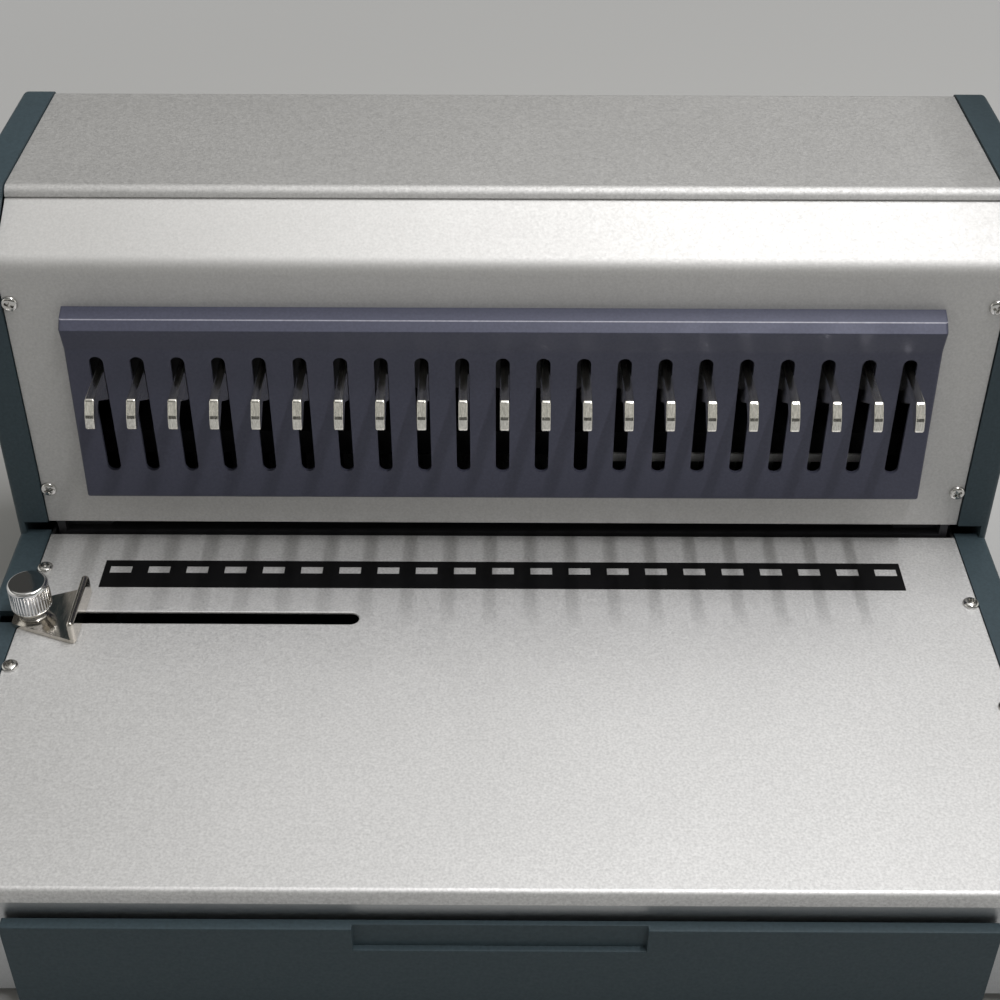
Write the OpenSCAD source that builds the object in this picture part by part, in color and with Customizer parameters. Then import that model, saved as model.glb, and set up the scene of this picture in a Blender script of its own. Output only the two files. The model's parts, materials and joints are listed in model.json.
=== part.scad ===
// Comb binding machine: a desk punch with a comb opener, worked by one lever on its right side.
// X runs to the right, Y to the back and Z up. Inside the modules Y starts at the front panel's face,
// and place() moves everything so that the whole machine stands centred on the origin.

/* [Body] */
// Distance from the outermost holes to the edges of the table and the front panel
table_edge = 31.125; // [30.5:0.125:45]
// Height of the table above the surface that the machine stands on
table_h = 56; // [54:1:70]
// Depth of the table in front of the front panel
table_d = 172; // [160:1:190]
// Depth of the housing behind the front panel
housing_d = 108; // [104:1:125]
// Height of the front panel's bend above the table
panel_h = 117; // [115:1:125]
// Depth of the sloped band above the bend
band_run = 25; // [22:0.5:28]
// Rise of the sloped band
band_rise = 13; // [10:0.5:15]
// Height of the top cover's front edge above the band
cover_step = 3.4; // [3:0.1:6]
// Height of the paper throat under the front panel
throat_h = 5.6; // [4.5:0.1:7]
// Thickness of the sheet metal covers
sheet_t = 1.2; // [0.8:0.1:1.5]
// Gap between a metal cover and the side panel beside it
seam = 0.3; // [0.2:0.05:0.6]

/* [Side panels] */
// Width of a side panel beside the table
side_w = 12; // [10:0.5:16]
// How far a side panel stands proud of the metal covers
side_proud = 0.8; // [0.4:0.1:1.5]
// Wall of the side panel shell
side_wall = 2.5; // [2:0.1:3.5]
// Depth of the slit that carries the throat into a side panel
slit_d = 9; // [6:0.5:9.5]
// Height of the raised pad round the lever hub
pad_h = 5; // [3:0.5:8]

/* [Comb opener] */
// Number of comb hooks, slots and punch pins
hole_count = 21; // [15:1:24]
// Distance between neighbouring holes
hole_pitch = 14.2875; // [12:0.0125:18]
// Width of a slot in the comb plate
slot_w = 5; // [4.8:0.1:6]
// Height of the slots' lower ends above the table
slot_low = 35; // [28:0.5:37]
// Height of the slots' upper ends above the table
slot_high = 84; // [81:0.5:85.5]
// Distance of the comb plate's face from the front panel
comb_out = 6.3; // [5.5:0.1:8]
// Distance from the outermost holes to the comb plate's ends
comb_edge = 10.6; // [8:0.2:14]
// Height of the comb plate's lower edge above the table
comb_low = 22.6; // [20:0.2:26]
// Height of the comb plate's lip above the table
comb_high = 102; // [100:0.2:104]
// Thickness of the comb plate's sheet
comb_t = 1.5; // [1:0.1:2]
// Thickness of a comb hook
hook_t = 3.1; // [2.5:0.1:3.3]
// Sideways offset of a hook from the middle of its slot
hook_off = 0.7; // [0:0.1:0.7]
// Height of a hook arm's top above the table
hook_top = 78.5; // [77:0.25:80]
// Height of a hook arm where it leaves the slot
hook_h = 12; // [10:0.25:12.5]
// Reach of the hooks in front of the front panel
hook_out = 28.8; // [25:0.2:32]
// Drop of a hook's beak below the arm's top
beak_drop = 10.8; // [8:0.2:13]

/* [Drive] */
// Diameter of the drive shaft
shaft_d = 14; // [12:0.5:16]
// Distance of the drive shaft behind the front panel
shaft_y = 46; // [43:0.5:50]
// Height of the drive shaft above the table
shaft_z = 62; // [61.5:0.25:64]
// Module of the pinion and rack teeth
tooth_m = 2; // [1.8:0.05:2.05]
// Number of teeth on a pinion
tooth_n = 20; // [18:1:20]
// Travel of the lever from rest, in degrees
lever_travel = 80; // [50:1:82]
// Stroke of the punches over the lever's travel
punch_stroke = 6; // [4.5:0.25:7]
// Lean of the resting lever behind the vertical, in degrees
lever_lean = 8; // [0:1:10]
// Diameter of the lever rod
lever_d = 12; // [10:0.5:14]
// Distance of the grip's end from the shaft
lever_len = 262; // [220:2:280]
// Diameter of the grip
grip_d = 28; // [24:0.5:32]
// Length of the grip
grip_len = 112; // [90:2:130]

/* [Punch] */
// Length of a punched hole along the paper's edge
pin_w = 8; // [7.5:0.1:8.4]
// Width of a punched hole
pin_d = 3; // [2.6:0.1:3.4]
// Distance of the punch row behind the front panel
pin_y = 18; // [17:0.25:19]
// Gap between the die plate and the punch guide
paper_gap = 3; // [2.5:0.1:3.4]
// Distance from the punch row to the paper stop
stop_y = 6; // [5:0.25:7]
// Thickness of the punch guide
guide_t = 12; // [10:0.25:12.5]
// Thickness of the die plate
die_t = 6; // [5:0.25:8]
// Thickness of the punch plate
plate_t = 10; // [9:0.25:10]
// Diameter of the punch plate's guide posts
post_d = 10; // [8:0.25:10.5]
// Wire diameter of the return springs
spring_wire = 1.4; // [1:0.1:1.5]
// Turns of a return spring
spring_turns = 5; // [4:0.5:5]

/* [Edge guide] */
// Distance of the guide slot in front of the front panel
guide_y = 48.8; // [46:0.2:52]
// Width of the guide slot
guide_slot_w = 6.2; // [5.8:0.1:7]
// Distance of the slot's inner end from the middle of the machine
guide_end = 51.5; // [45:0.5:60]
// Distance of the thumb nut's axis from the table's left edge
nut_in = 5.5; // [5:0.25:9]
// Diameter of the thumb nut
nut_d = 15.8; // [14:0.2:18]
// Height of the thumb nut
nut_h = 14.6; // [12:0.2:16]
// Number of flutes round the thumb nut
flute_n = 32; // [24:1:40]
// Length of the guide's fence
fence_len = 28.4; // [24:0.2:34]
// Height of the fence above the table
fence_h = 9; // [7:0.2:11]
// Thickness of the guide's plate
guide_sheet = 1.6; // [1.2:0.1:2]
// Diameter of the clamp bolt
bolt_d = 5; // [4:0.25:5]

/* [Base] */
// Height of the rubber feet
foot_h = 6; // [4:0.5:7]
// Diameter of the rubber feet
foot_d = 26; // [20:1:28]
// Distance from the chip drawer's side to the table's edge
drawer_in = 28; // [27:1:40]
// Height of the chip drawer's tray
drawer_h = 30; // [24:1:32]
// Thickness of the chip drawer's walls
drawer_wall = 2; // [1.5:0.1:2.5]
// Thickness of the chip drawer's front
drawer_front = 4; // [3:0.5:6]
// Diameter of the screw heads on the covers
head_d = 5.8; // [5:0.1:6]
// Height of the screw heads
head_h = 1.9; // [1.6:0.1:2.4]
// Diameter of the screw shanks
shank_d = 3; // [2.5:0.1:3.2]

/* [Hidden] */
$fn = 64;
eps = 0.01;
fit = 0.05;        // radial gap of a running fit
press = 0.02;      // radial gap of a tight fit
slide_gap = 0.2;   // gap between flat faces that slide on each other
row_half = (hole_count - 1) / 2 * hole_pitch;
half = row_half + table_edge;
cover_half = half - seam;

// Heights above the ground
band_z = table_h + panel_h;
top_z = band_z + band_rise + cover_step;
throat_z = table_h + throat_h;
shaft_h = table_h + shaft_z;
pan_z = foot_h;
floor_z = pan_z + sheet_t;

// The drive, from the row of hooks outwards
rack_gap = 8.2;
rack_w = 7.4;
rack_x = row_half + rack_gap;
rod_d = 6;
rod_gap = 1;
rod_x = rack_x + rack_w + rod_d / 2 + rod_gap;
frame_gap = 5.5;
frame_x = rod_x + frame_gap;
frame_t = 3;
flange_t = 2;
pitch_r = tooth_m * tooth_n / 2;
hook_travel = pitch_r * lever_travel * PI / 180;
cam_rise = punch_stroke / (lever_travel * PI / 180);
cam_low = 18;
cam_gap = 0.3;
cam_in = 22.9;
cam_x = row_half - cam_in;
cam_w = 14;
cam_hub_wall = 5;
cam_hub_r = shaft_d / 2 + cam_hub_wall;

// The hook bar
bar_y0 = 5;
bar_y1 = 17;
bar_below = 2.5;
bar_above = 1.5;
bar_z0 = table_h + hook_top - hook_h - bar_below;
bar_z1 = table_h + hook_top + bar_above;
groove_y = 10;
hook_rod_d = 4;
hook_rod_y = 7.6;
hook_rod_z = table_h + hook_top - hook_h / 2;
bracket_t = 6;
rod_spare = 8;
rod_z0 = bar_z0 - hook_travel - bracket_t - rod_spare;
rod_z1 = bar_z1 + bracket_t + rod_spare;
rack_spare = 8;
rack_z0 = shaft_h - rack_spare;
rack_z1 = shaft_h + hook_travel + rack_spare;

// The punch head
guide_z0 = table_h + paper_gap;
guide_z1 = guide_z0 + guide_t;
head_y0 = 5;
head_y1 = 64;
pad_t = 4;
pad_z1 = shaft_h - cam_low - cam_gap;
plate_z1 = pad_z1 - pad_t;
plate_z0 = plate_z1 - plate_t;
plate_edge = 3;
plate_half = row_half + pin_w / 2 + plate_edge;
plate_y0 = 12;
plate_y1 = 60;
pin_seat = 6;
pin_tip = 1;
post_in = 5;
post_x = row_half - post_in;
post_y = 50;
post_spare = 8;
post_z1 = plate_z1 + post_spare;
spring_gap = 0.6;
spring_r = post_d / 2 + spring_wire / 2 + spring_gap;
spring_end = 0.3;

// The side panels
side_in = half;
side_out = half + side_w;
pad_out = side_out + pad_h;
hub_r = 15;
hub_gap = 0.8;
hub_x0 = pad_out + hub_gap;
hub_w = 16;
hub_cap = 3;
hub_x1 = hub_x0 + hub_w;
lever_x = (hub_x0 + hub_x1) / 2;

// The edge guide, whose plate runs from the fence to a short edge beyond the thumb nut
guide_lift = 0.1;
nut_x = half - nut_in;
fence_in = 16.3;
fence_x = nut_x - fence_in;
apex_out = 7;
apex_x = nut_x + apex_out;
apex_w = 11;
key_gap = 0.3;
key_len = 14;
bolt_head_w = 10;
bolt_head_t = 4;

// Screw places
panel_screw_in = 3;
panel_screw_x = half - panel_screw_in;
panel_screw_z = [21.2, 101.5];
table_screw_in = 3;
table_screw_left_y = [-21.5, -74.8];
table_screw_right_y = [-39.5, -92.8];
rear_screw_z = [30, 110];

// The whole machine is centred on the origin
front_y = -table_d - drawer_front;
back_y = housing_d + max(side_proud, head_h);
right_x = lever_x + max(grip_d, hub_w) / 2;
centre_x = (side_out - right_x) / 2;
centre_y = -(front_y + back_y) / 2;

function hook_name(i) = str("comb_hook_", i < 9 ? "0" : "", i + 1);

// Plain helpers

module place() {
    translate([centre_x, centre_y, 0])
        children();
}

module box(x, y, z) {
    translate([x[0], y[0], z[0]])
        cube([x[1] - x[0], y[1] - y[0], z[1] - z[0]]);
}

module both_sides() {
    children();
    mirror([1, 0, 0])
        children();
}

module rod_x_axis(x, y, z, d) {
    translate([x[0], y, z])
        rotate([0, 90, 0])
            cylinder(h = x[1] - x[0], d = d);
}

module rod_y_axis(x, y, z, d) {
    translate([x, y[1], z])
        rotate([90, 0, 0])
            cylinder(h = y[1] - y[0], d = d);
}

module rod_z_axis(x, y, z, d) {
    translate([x, y, z[0]])
        cylinder(h = z[1] - z[0], d = d);
}

// A section drawn in Y and Z, drawn out along X
module along_x(x, points) {
    translate([x[0], 0, 0])
        rotate([90, 0, 90])
            linear_extrude(x[1] - x[0])
                polygon(points);
}

module at_holes() {
    for (i = [0 : hole_count - 1])
        translate([i * hole_pitch - row_half, 0, 0])
            children();
}

// Sections of bent sheet

function unit(v) = v / norm(v);
function left_of(v) = [-v[1], v[0]];
function heading(p, i) = unit(p[i + 1] - p[i]);
function side_step(p, i, t) =
    i == 0 ? t * left_of(heading(p, 0)) :
    i == len(p) - 1 ? t * left_of(heading(p, i - 1)) :
    let (a = left_of(heading(p, i - 1)), b = left_of(heading(p, i)), m = unit(a + b)) m * t / (m * a);
function sheet(p, t) = concat(p, [for (i = [len(p) - 1 : -1 : 0]) p[i] + side_step(p, i, t)]);
function arc(c, r, a0, a1, steps = 6) =
    [for (s = [0 : steps]) let (a = a0 + (a1 - a0) * s / steps) c + r * [cos(a), sin(a)]];

// Covers

bend_r = 7;
band_angle = atan2(band_rise, band_run);
band_tuck = 2;
bend_tangent = bend_r * tan((90 - band_angle) / 2);
bend_centre = [bend_r, band_z - bend_tangent];
function front_path() = concat(
    [[0, throat_z]],
    arc(bend_centre, bend_r, 180, 90 + band_angle),
    [[band_run + band_tuck, band_z + (band_run + band_tuck) * tan(band_angle)]]
);

window_margin = 5;

module front_housing() {
    color([0.72, 0.72, 0.71])
        difference() {
            along_x([-cover_half, cover_half], sheet(front_path(), -sheet_t));
            box([-row_half - window_margin, row_half + window_margin], [-1, sheet_t + 1],
                [table_h + slot_low - window_margin, table_h + slot_high + window_margin]);
            both_sides()
                for (z = panel_screw_z)
                    rod_y_axis(panel_screw_x, [-1, sheet_t + 1], table_h + z, shank_d + 2 * fit);
        }
}

cover_edge_r = 1.6;
cover_back_r = 4;
cover_foot = 2;
function cover_path() = concat(
    arc([band_run + cover_edge_r, top_z - cover_edge_r], cover_edge_r, 180, 90),
    arc([housing_d - cover_back_r, top_z - cover_back_r], cover_back_r, 90, 0),
    [[housing_d, floor_z + cover_foot]]
);

module top_cover() {
    color([0.66, 0.66, 0.66])
        difference() {
            along_x([-cover_half, cover_half], sheet(cover_path(), -sheet_t));
            rear_screw_places()
                rod_y_axis(0, [-2, 2], 0, shank_d + 2 * fit);
        }
}

// Origin at the back cover's outer face, at each rear screw
module rear_screw_places() {
    both_sides()
        for (z = rear_screw_z)
            translate([panel_screw_x, housing_d, table_h + z])
                children();
}

table_tail = 1;
apron_h = 6;

module table_plate() {
    color([0.75, 0.75, 0.74])
        difference() {
            union() {
                box([-cover_half, cover_half], [-table_d, table_tail], [table_h - sheet_t, table_h]);
                box([-cover_half, cover_half], [-table_d, sheet_t - table_d], [table_h - apron_h, table_h]);
            }
            guide_slot_cut(cover_half + 1);
            table_screw_places()
                rod_z_axis(0, 0, [-2, 2], shank_d + 2 * fit);
        }
}

// The guide slot, open at the left edge and round at its inner end
module guide_slot_cut(reach) {
    r = guide_slot_w / 2;
    box([-reach, -guide_end - r], [-guide_y - r, -guide_y + r], [table_h - 2 * sheet_t, table_h + 1]);
    rod_z_axis(-guide_end - r, -guide_y, [table_h - 2 * sheet_t, table_h + 1], guide_slot_w);
}

module table_screw_places() {
    for (y = table_screw_left_y)
        translate([table_screw_in - half, y, table_h])
            children();
    for (y = table_screw_right_y)
        translate([half - table_screw_in, y, table_h])
            children();
}

module printed_strip() {
    strip_edge = 6.1;
    strip_half = row_half + strip_edge;
    strip_d = 15.4;
    strip_y = 24.5;
    strip_t = 0.15;
    color([0.09, 0.09, 0.10])
        box([-strip_half, strip_half], [-strip_y - strip_d / 2, -strip_y + strip_d / 2],
            [table_h, table_h + strip_t]);
}

// Side panels: plastic shells, open towards the machine, level with the table and proud of the covers

slope_share = 0.3;   // how much of the wall the slope's upper corner moves back in the hollow
function side_section(d) = [
    [-table_d - side_proud + d, foot_h + d],
    [-table_d - side_proud + d, table_h - d],
    [-side_proud + d, table_h - d],
    [-side_proud + d, band_z + side_proud - d],
    [band_run + d * slope_share, top_z + side_proud - d],
    [housing_d + side_proud - d, top_z + side_proud - d],
    [housing_d + side_proud - d, foot_h + d]
];

module side_shell() {
    slit_y1 = 30;
    difference() {
        along_x([side_in, side_out], side_section(0));
        along_x([side_in - 1, side_out - side_wall], side_section(side_wall));
        box([side_in - 1, side_in + slit_d], [-side_proud - 1, slit_y1], [table_h, throat_z]);
    }
}

module left_side_panel() {
    notch_d = 8;
    notch_h = 4;
    color([0.26, 0.32, 0.37])
        difference() {
            mirror([1, 0, 0])
                side_shell();
            box([-side_in - notch_d, 1 - side_in],
                [-guide_y - guide_slot_w / 2, -guide_y + guide_slot_w / 2],
                [table_h - notch_h, table_h + 1]);
        }
}

// The right panel carries a raised pad with cut corners round the lever hub
pad_y = [6, 96];
pad_z = [13, 118];
pad_corner = 14;
shaft_room = 2;
module right_side_panel() {
    y0 = pad_y[0];
    y1 = pad_y[1];
    z0 = table_h + pad_z[0];
    z1 = table_h + pad_z[1];
    c = pad_corner;
    color([0.26, 0.32, 0.37])
        difference() {
            union() {
                side_shell();
                along_x([side_out, pad_out], [
                    [y0 + c, z0], [y1 - c, z0], [y1, z0 + c], [y1, z1 - c],
                    [y1 - c, z1], [y0 + c, z1], [y0, z1 - c], [y0, z0 + c]
                ]);
            }
            rod_x_axis([side_in - 1, pad_out + 1], shaft_y, shaft_h, shaft_d + 2 * shaft_room);
        }
}

// Inner frames

bush_d = 20;
bush_flange_d = 26;
bush_flange_t = 2;
frame_back = 3;

module frame() {
    band_in = 2;
    slope_y = band_run + band_tuck + 1;
    slope_z = band_z + (slope_y - sheet_t) * tan(band_angle) - sheet_t - band_in;
    difference() {
        union() {
            along_x([frame_x, frame_x + frame_t], [
                [sheet_t, floor_z], [sheet_t, band_z - bend_tangent - band_in],
                [slope_y, slope_z], [slope_y + band_in, top_z - sheet_t],
                [housing_d - sheet_t - frame_back, top_z - sheet_t],
                [housing_d - sheet_t - frame_back, floor_z]
            ]);
            box([frame_x, cover_half], [sheet_t, sheet_t + flange_t], [throat_z + 2, band_z - 6]);
            box([frame_x, cover_half],
                [housing_d - sheet_t - flange_t - frame_back, housing_d - sheet_t],
                [table_h + 2, top_z - 12]);
            for (z = [[rod_z0, rod_z0 + bracket_t], [rod_z1 - bracket_t, rod_z1]])
                box([rack_x + rack_w + 0.4, frame_x + eps], [bar_y0, bar_y1], z);
        }
        rod_x_axis([frame_x - 1, frame_x + frame_t + 1], shaft_y, shaft_h, bush_d + 2 * press);
        rod_z_axis(rod_x, (bar_y0 + bar_y1) / 2, [rod_z0 - 1, rod_z1 + 1], rod_d + 2 * press);
        for (z = panel_screw_z)
            rod_y_axis(panel_screw_x, [sheet_t - 1, sheet_t + flange_t + 8], table_h + z,
                shank_d + 2 * press);
        for (z = rear_screw_z)
            rod_y_axis(panel_screw_x, [housing_d - 14, housing_d], table_h + z, shank_d + 2 * press);
    }
}

module left_frame() {
    color([0.55, 0.56, 0.58])
        mirror([1, 0, 0])
            frame();
}

module right_frame() {
    color([0.55, 0.56, 0.58])
        frame();
}

// Base

drawer_half = half - drawer_in;
drawer_gap = 1;
drawer_z0 = floor_z + slide_gap;
drawer_z1 = drawer_z0 + drawer_h;
pan_flange = 14;
foot_in = 22;
foot_x = half - foot_in;
foot_y = [foot_in - table_d, housing_d - foot_in];

module feet_places() {
    both_sides()
        for (y = foot_y)
            translate([foot_x, y, 0])
                children();
}

module base_pan() {
    wall_top = table_h - sheet_t;
    back_wall_h = 20;
    back = housing_d - sheet_t;
    nut_room = bolt_head_w / 2 + 3;
    color([0.30, 0.31, 0.33])
        difference() {
            union() {
                box([-half, half], [sheet_t - table_d, back], [pan_z, floor_z]);
                box([-half, half], [sheet_t - table_d, 2 * sheet_t - table_d], [pan_z, wall_top]);
                box([-half, half], [back - sheet_t, back], [pan_z, pan_z + back_wall_h]);
                both_sides() {
                    box([half - sheet_t, half], [sheet_t - table_d, back], [pan_z, wall_top]);
                    box([half - pan_flange, half], [sheet_t - table_d, 0], [wall_top - sheet_t, wall_top]);
                }
            }
            box([-drawer_half - drawer_gap, drawer_half + drawer_gap],
                [-table_d, 3 * sheet_t - table_d], [floor_z, drawer_z1 + drawer_gap]);
            box([-half - 1, -nut_x + bolt_head_w],
                [-guide_y - nut_room, -guide_y + nut_room], [wall_top - 10, wall_top + 1]);
            table_screw_places()
                rod_z_axis(0, 0, [-8, 2], shank_d + 2 * press);
            feet_places()
                rod_z_axis(0, 0, [pan_z - 1, floor_z + 1], foot_stem_d + 2 * press);
        }
}

foot_stem_d = 6;
module rubber_feet() {
    color([0.08, 0.08, 0.08])
        feet_places()
            union() {
                cylinder(h = foot_h, d1 = foot_d - 3, d2 = foot_d);
                cylinder(h = foot_h + sheet_t, d = foot_stem_d);
            }
}

drawer_back = 42;
module chip_drawer() {
    y0 = -table_d;
    w = drawer_wall;
    grip_w = 90;
    grip_cut = 10;
    color([0.26, 0.32, 0.37])
        difference() {
            union() {
                box([-drawer_half, drawer_half], [y0, drawer_back], [drawer_z0, drawer_z1]);
                box([-drawer_half - 6, drawer_half + 6], [y0 - drawer_front, y0],
                    [pan_z + 1, drawer_z1 + 6]);
            }
            box([w - drawer_half, drawer_half - w], [y0 + w, drawer_back - w],
                [drawer_z0 + w, drawer_z1 + 1]);
            box([-grip_w / 2, grip_w / 2], [y0 - drawer_front - 1, y0 - drawer_front / 2],
                [drawer_z1 + 6 - grip_cut, drawer_z1 + 7]);
        }
}

module drawer_runners() {
    runner_w = 4;
    runner_h = 9;
    color([0.55, 0.56, 0.58])
        both_sides()
            box([drawer_half + slide_gap, drawer_half + slide_gap + runner_w],
                [4 * sheet_t - table_d, drawer_back], [floor_z, floor_z + runner_h]);
}

// Comb plate: a bent sheet with a lip, closed at its ends, standing off the front panel

comb_half = row_half + comb_edge;
lip_out = comb_out + 2.9;
lip_edge = comb_out + 0.9;
lip_edge_drop = 2.6;
lip_out_drop = 5.3;
lip_foot_drop = 15.2;
function comb_path() = concat(
    [
        [0, table_h + comb_high],
        [-lip_edge, table_h + comb_high - lip_edge_drop],
        [-lip_out, table_h + comb_high - lip_out_drop],
        [-comb_out, table_h + comb_high - lip_foot_drop]
    ],
    arc([comb_r - comb_out, table_h + comb_low + comb_r], comb_r, 180, 270),
    [[0, table_h + comb_low]]
);
comb_r = 2;

module comb_slot() {
    y = [-lip_out, 0];
    r = slot_w / 2;
    box([-r, r], y, [table_h + slot_low + r, table_h + slot_high - r]);
    rod_y_axis(0, y, table_h + slot_low + r, slot_w);
    rod_y_axis(0, y, table_h + slot_high - r, slot_w);
}

module comb_plate() {
    color([0.19, 0.19, 0.22])
        difference() {
            union() {
                along_x([-comb_half, comb_half], sheet(comb_path(), comb_t));
                both_sides()
                    along_x([comb_half - comb_t, comb_half], comb_path());
            }
            at_holes()
                comb_slot();
            box([-half, half], [0, 2 * comb_t], [table_h, band_z]);
        }
}

// Comb hooks: plates with a beak and a notch behind it

nose_r = 2.2;
nose_back = 6.2;
fold_back = 1.2;
fold_drop = 5.2;
beak_r = 1.6;
notch_back = 10.1;
notch_drop = 4.3;
function hook_section() = let (t = table_h + hook_top, b = t - hook_h) concat(
    [[groove_y, t]],
    arc([nose_back - hook_out, t - nose_r], nose_r, 90, 145, 3),
    [[fold_back - hook_out, t - fold_drop]],
    arc([beak_r - hook_out, t - beak_drop + beak_r], beak_r, 170, 300, 4),
    [[notch_back - hook_out, t - notch_drop], [-comb_out, b], [groove_y, b]]
);

module comb_hook(i) {
    x = i * hole_pitch - row_half + hook_off;
    color([0.80, 0.79, 0.76])
        difference() {
            along_x([x - hook_t / 2, x + hook_t / 2], hook_section());
            rod_x_axis([x - hook_t, x + hook_t], hook_rod_y, hook_rod_z, hook_rod_d + 2 * press);
        }
}

module hook_bar() {
    color([0.50, 0.50, 0.52])
        difference() {
            box([-frame_x + 1, frame_x - 1], [bar_y0, bar_y1], [bar_z0, bar_z1]);
            at_holes()
                box([hook_off - hook_t / 2 - fit, hook_off + hook_t / 2 + fit],
                    [bar_y0 - 1, groove_y], [bar_z0 - 1, bar_z1 + 1]);
            rod_x_axis([-rack_x, rack_x], hook_rod_y, hook_rod_z, hook_rod_d + 2 * press);
            both_sides()
                rod_z_axis(rod_x, (bar_y0 + bar_y1) / 2, [bar_z0 - 1, bar_z1 + 1], rod_d + 2 * fit);
        }
}

module hook_rod() {
    color([0.62, 0.62, 0.64])
        rod_x_axis([-rack_x, rack_x], hook_rod_y, hook_rod_z, hook_rod_d);
}

module guide_rods() {
    color([0.70, 0.70, 0.72])
        both_sides()
            rod_z_axis(rod_x, (bar_y0 + bar_y1) / 2, [rod_z0, rod_z1], rod_d);
}

// Rack and pinion: a rack tooth is a plain trapezoid, a pinion tooth follows the involute

pressure = 20;
backlash = 0.3;
pitch_line = shaft_y - pitch_r;
tooth_gap = 0.25 * tooth_m;

function rack_tooth(z) = let (
    at_pitch = PI * tooth_m / 4 - backlash / 4,
    root = at_pitch + (tooth_m + tooth_gap) * tan(pressure),
    tip = at_pitch - tooth_m * tan(pressure),
    y0 = pitch_line - tooth_m - tooth_gap,
    y1 = pitch_line + tooth_m
) [[y0 - eps, z - root], [y1, z - tip], [y1, z + tip], [y0 - eps, z + root]];

module hook_racks() {
    step = PI * tooth_m;
    first = ceil((rack_z0 - shaft_h) / step);
    last = floor((rack_z1 - shaft_h) / step) - 1;
    color([0.58, 0.58, 0.60])
        both_sides()
            union() {
                box([rack_x, rack_x + rack_w], [bar_y1, pitch_line - tooth_m - tooth_gap],
                    [rack_z0, rack_z1]);
                for (i = [first : last])
                    along_x([rack_x, rack_x + rack_w], rack_tooth(shaft_h + (i + 0.5) * step));
            }
}

function involute(a) = tan(a) * 180 / PI - a;
base_r = pitch_r * cos(pressure);
tip_r = pitch_r + tooth_m;
root_r = pitch_r - tooth_m - tooth_gap;
function half_tooth(r) = let (a = acos(min(1, base_r / r)))
    (90 - backlash / tooth_m * 90 / PI) / tooth_n + involute(pressure) - involute(a);
function tooth_side(steps = 4) =
    [for (s = [0 : steps]) let (r = base_r + (tip_r - base_r) * s / steps) [r, half_tooth(r)]];
function pinion_section() = [
    for (i = [0 : tooth_n - 1]) let (mid = 180 + i * 360 / tooth_n, side = tooth_side())
        each concat(
            [root_r * [cos(mid - side[0][1]), sin(mid - side[0][1])]],
            [for (p = side) p[0] * [cos(mid - p[1]), sin(mid - p[1])]],
            [for (j = [len(side) - 1 : -1 : 0]) let (p = side[j], a = mid + p[1]) p[0] * [cos(a), sin(a)]],
            [root_r * [cos(mid + side[0][1]), sin(mid + side[0][1])]]
        )
];

module on_shaft(x) {
    translate([x[0], shaft_y, shaft_h])
        rotate([90, 0, 90])
            linear_extrude(x[1] - x[0])
                children();
}

module pinions() {
    color([0.58, 0.58, 0.60])
        both_sides()
            on_shaft([rack_x, rack_x + rack_w])
                difference() {
                    polygon(pinion_section());
                    circle(d = shaft_d + 2 * press);
                }
}

module drive_shaft() {
    color([0.62, 0.62, 0.64])
        rod_x_axis([-side_in + 1, hub_x1 - hub_cap], shaft_y, shaft_h, shaft_d);
}

module shaft_bushes() {
    color([0.72, 0.56, 0.30])
        both_sides()
            difference() {
                union() {
                    rod_x_axis([frame_x, frame_x + frame_t], shaft_y, shaft_h, bush_d);
                    rod_x_axis([frame_x - bush_flange_t, frame_x], shaft_y, shaft_h, bush_flange_d);
                }
                rod_x_axis([frame_x - 5, frame_x + 5], shaft_y, shaft_h, shaft_d + 2 * fit);
            }
}

// A cam whose flat follower goes down evenly with the lever: its flank is the involute of a small circle
function cam_point(turn) = let (
    lift = cam_low + cam_rise * turn * PI / 180,
    a = -90 - turn
) lift * [cos(a), sin(a)] - cam_rise * [-sin(a), cos(a)];
cam_margin = 4;
cam_step = 4;
function cam_section() = concat(
    [[0, 0]],
    [for (t = [-cam_margin : cam_step : lever_travel + cam_margin]) cam_point(t)]
);

module press_cams() {
    color([0.45, 0.45, 0.47])
        both_sides()
            on_shaft([cam_x - cam_w / 2, cam_x + cam_w / 2])
                difference() {
                    union() {
                        circle(r = cam_hub_r);
                        polygon(cam_section());
                    }
                    circle(d = shaft_d + 2 * press);
                }
}

module cam_pads() {
    pad_len = 30;
    color([0.45, 0.45, 0.47])
        both_sides()
            box([cam_x - cam_w / 2 - 1, cam_x + cam_w / 2 + 1],
                [shaft_y - pad_len / 2 - 2, plate_y1], [plate_z1, pad_z1]);
}

// Lever

module along_lever() {
    translate([lever_x, shaft_y, shaft_h])
        rotate([-lever_lean, 0, 0])
            children();
}

grip_cap = 8;
module lever_arm() {
    color([0.75, 0.75, 0.76])
        difference() {
            union() {
                rod_x_axis([hub_x0, hub_x1], shaft_y, shaft_h, 2 * hub_r);
                along_lever()
                    cylinder(h = lever_len - grip_cap, d = lever_d);
            }
            rod_x_axis([hub_x0 - 1, hub_x1 - hub_cap], shaft_y, shaft_h, shaft_d + 2 * press);
        }
}

module lever_grip() {
    r = grip_d / 2;
    crown = 6;
    neck = lever_d / 2 + 3;
    z0 = lever_len - grip_len;
    color([0.07, 0.07, 0.08])
        along_lever()
            difference() {
                rotate_extrude()
                    polygon(concat(
                        [[0, z0], [neck, z0], [r - 3, z0 + 8]],
                        arc([r - crown, lever_len - crown], crown, 0, 90),
                        [[0, lever_len]]
                    ));
                translate([0, 0, z0 - 1])
                    cylinder(h = grip_len - grip_cap + 1, d = lever_d + 2 * press);
            }
}

// Punch head

module pin_holes(gap, z) {
    at_holes()
        box([-pin_w / 2 - gap, pin_w / 2 + gap], [pin_y - pin_d / 2 - gap, pin_y + pin_d / 2 + gap], z);
}

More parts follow.
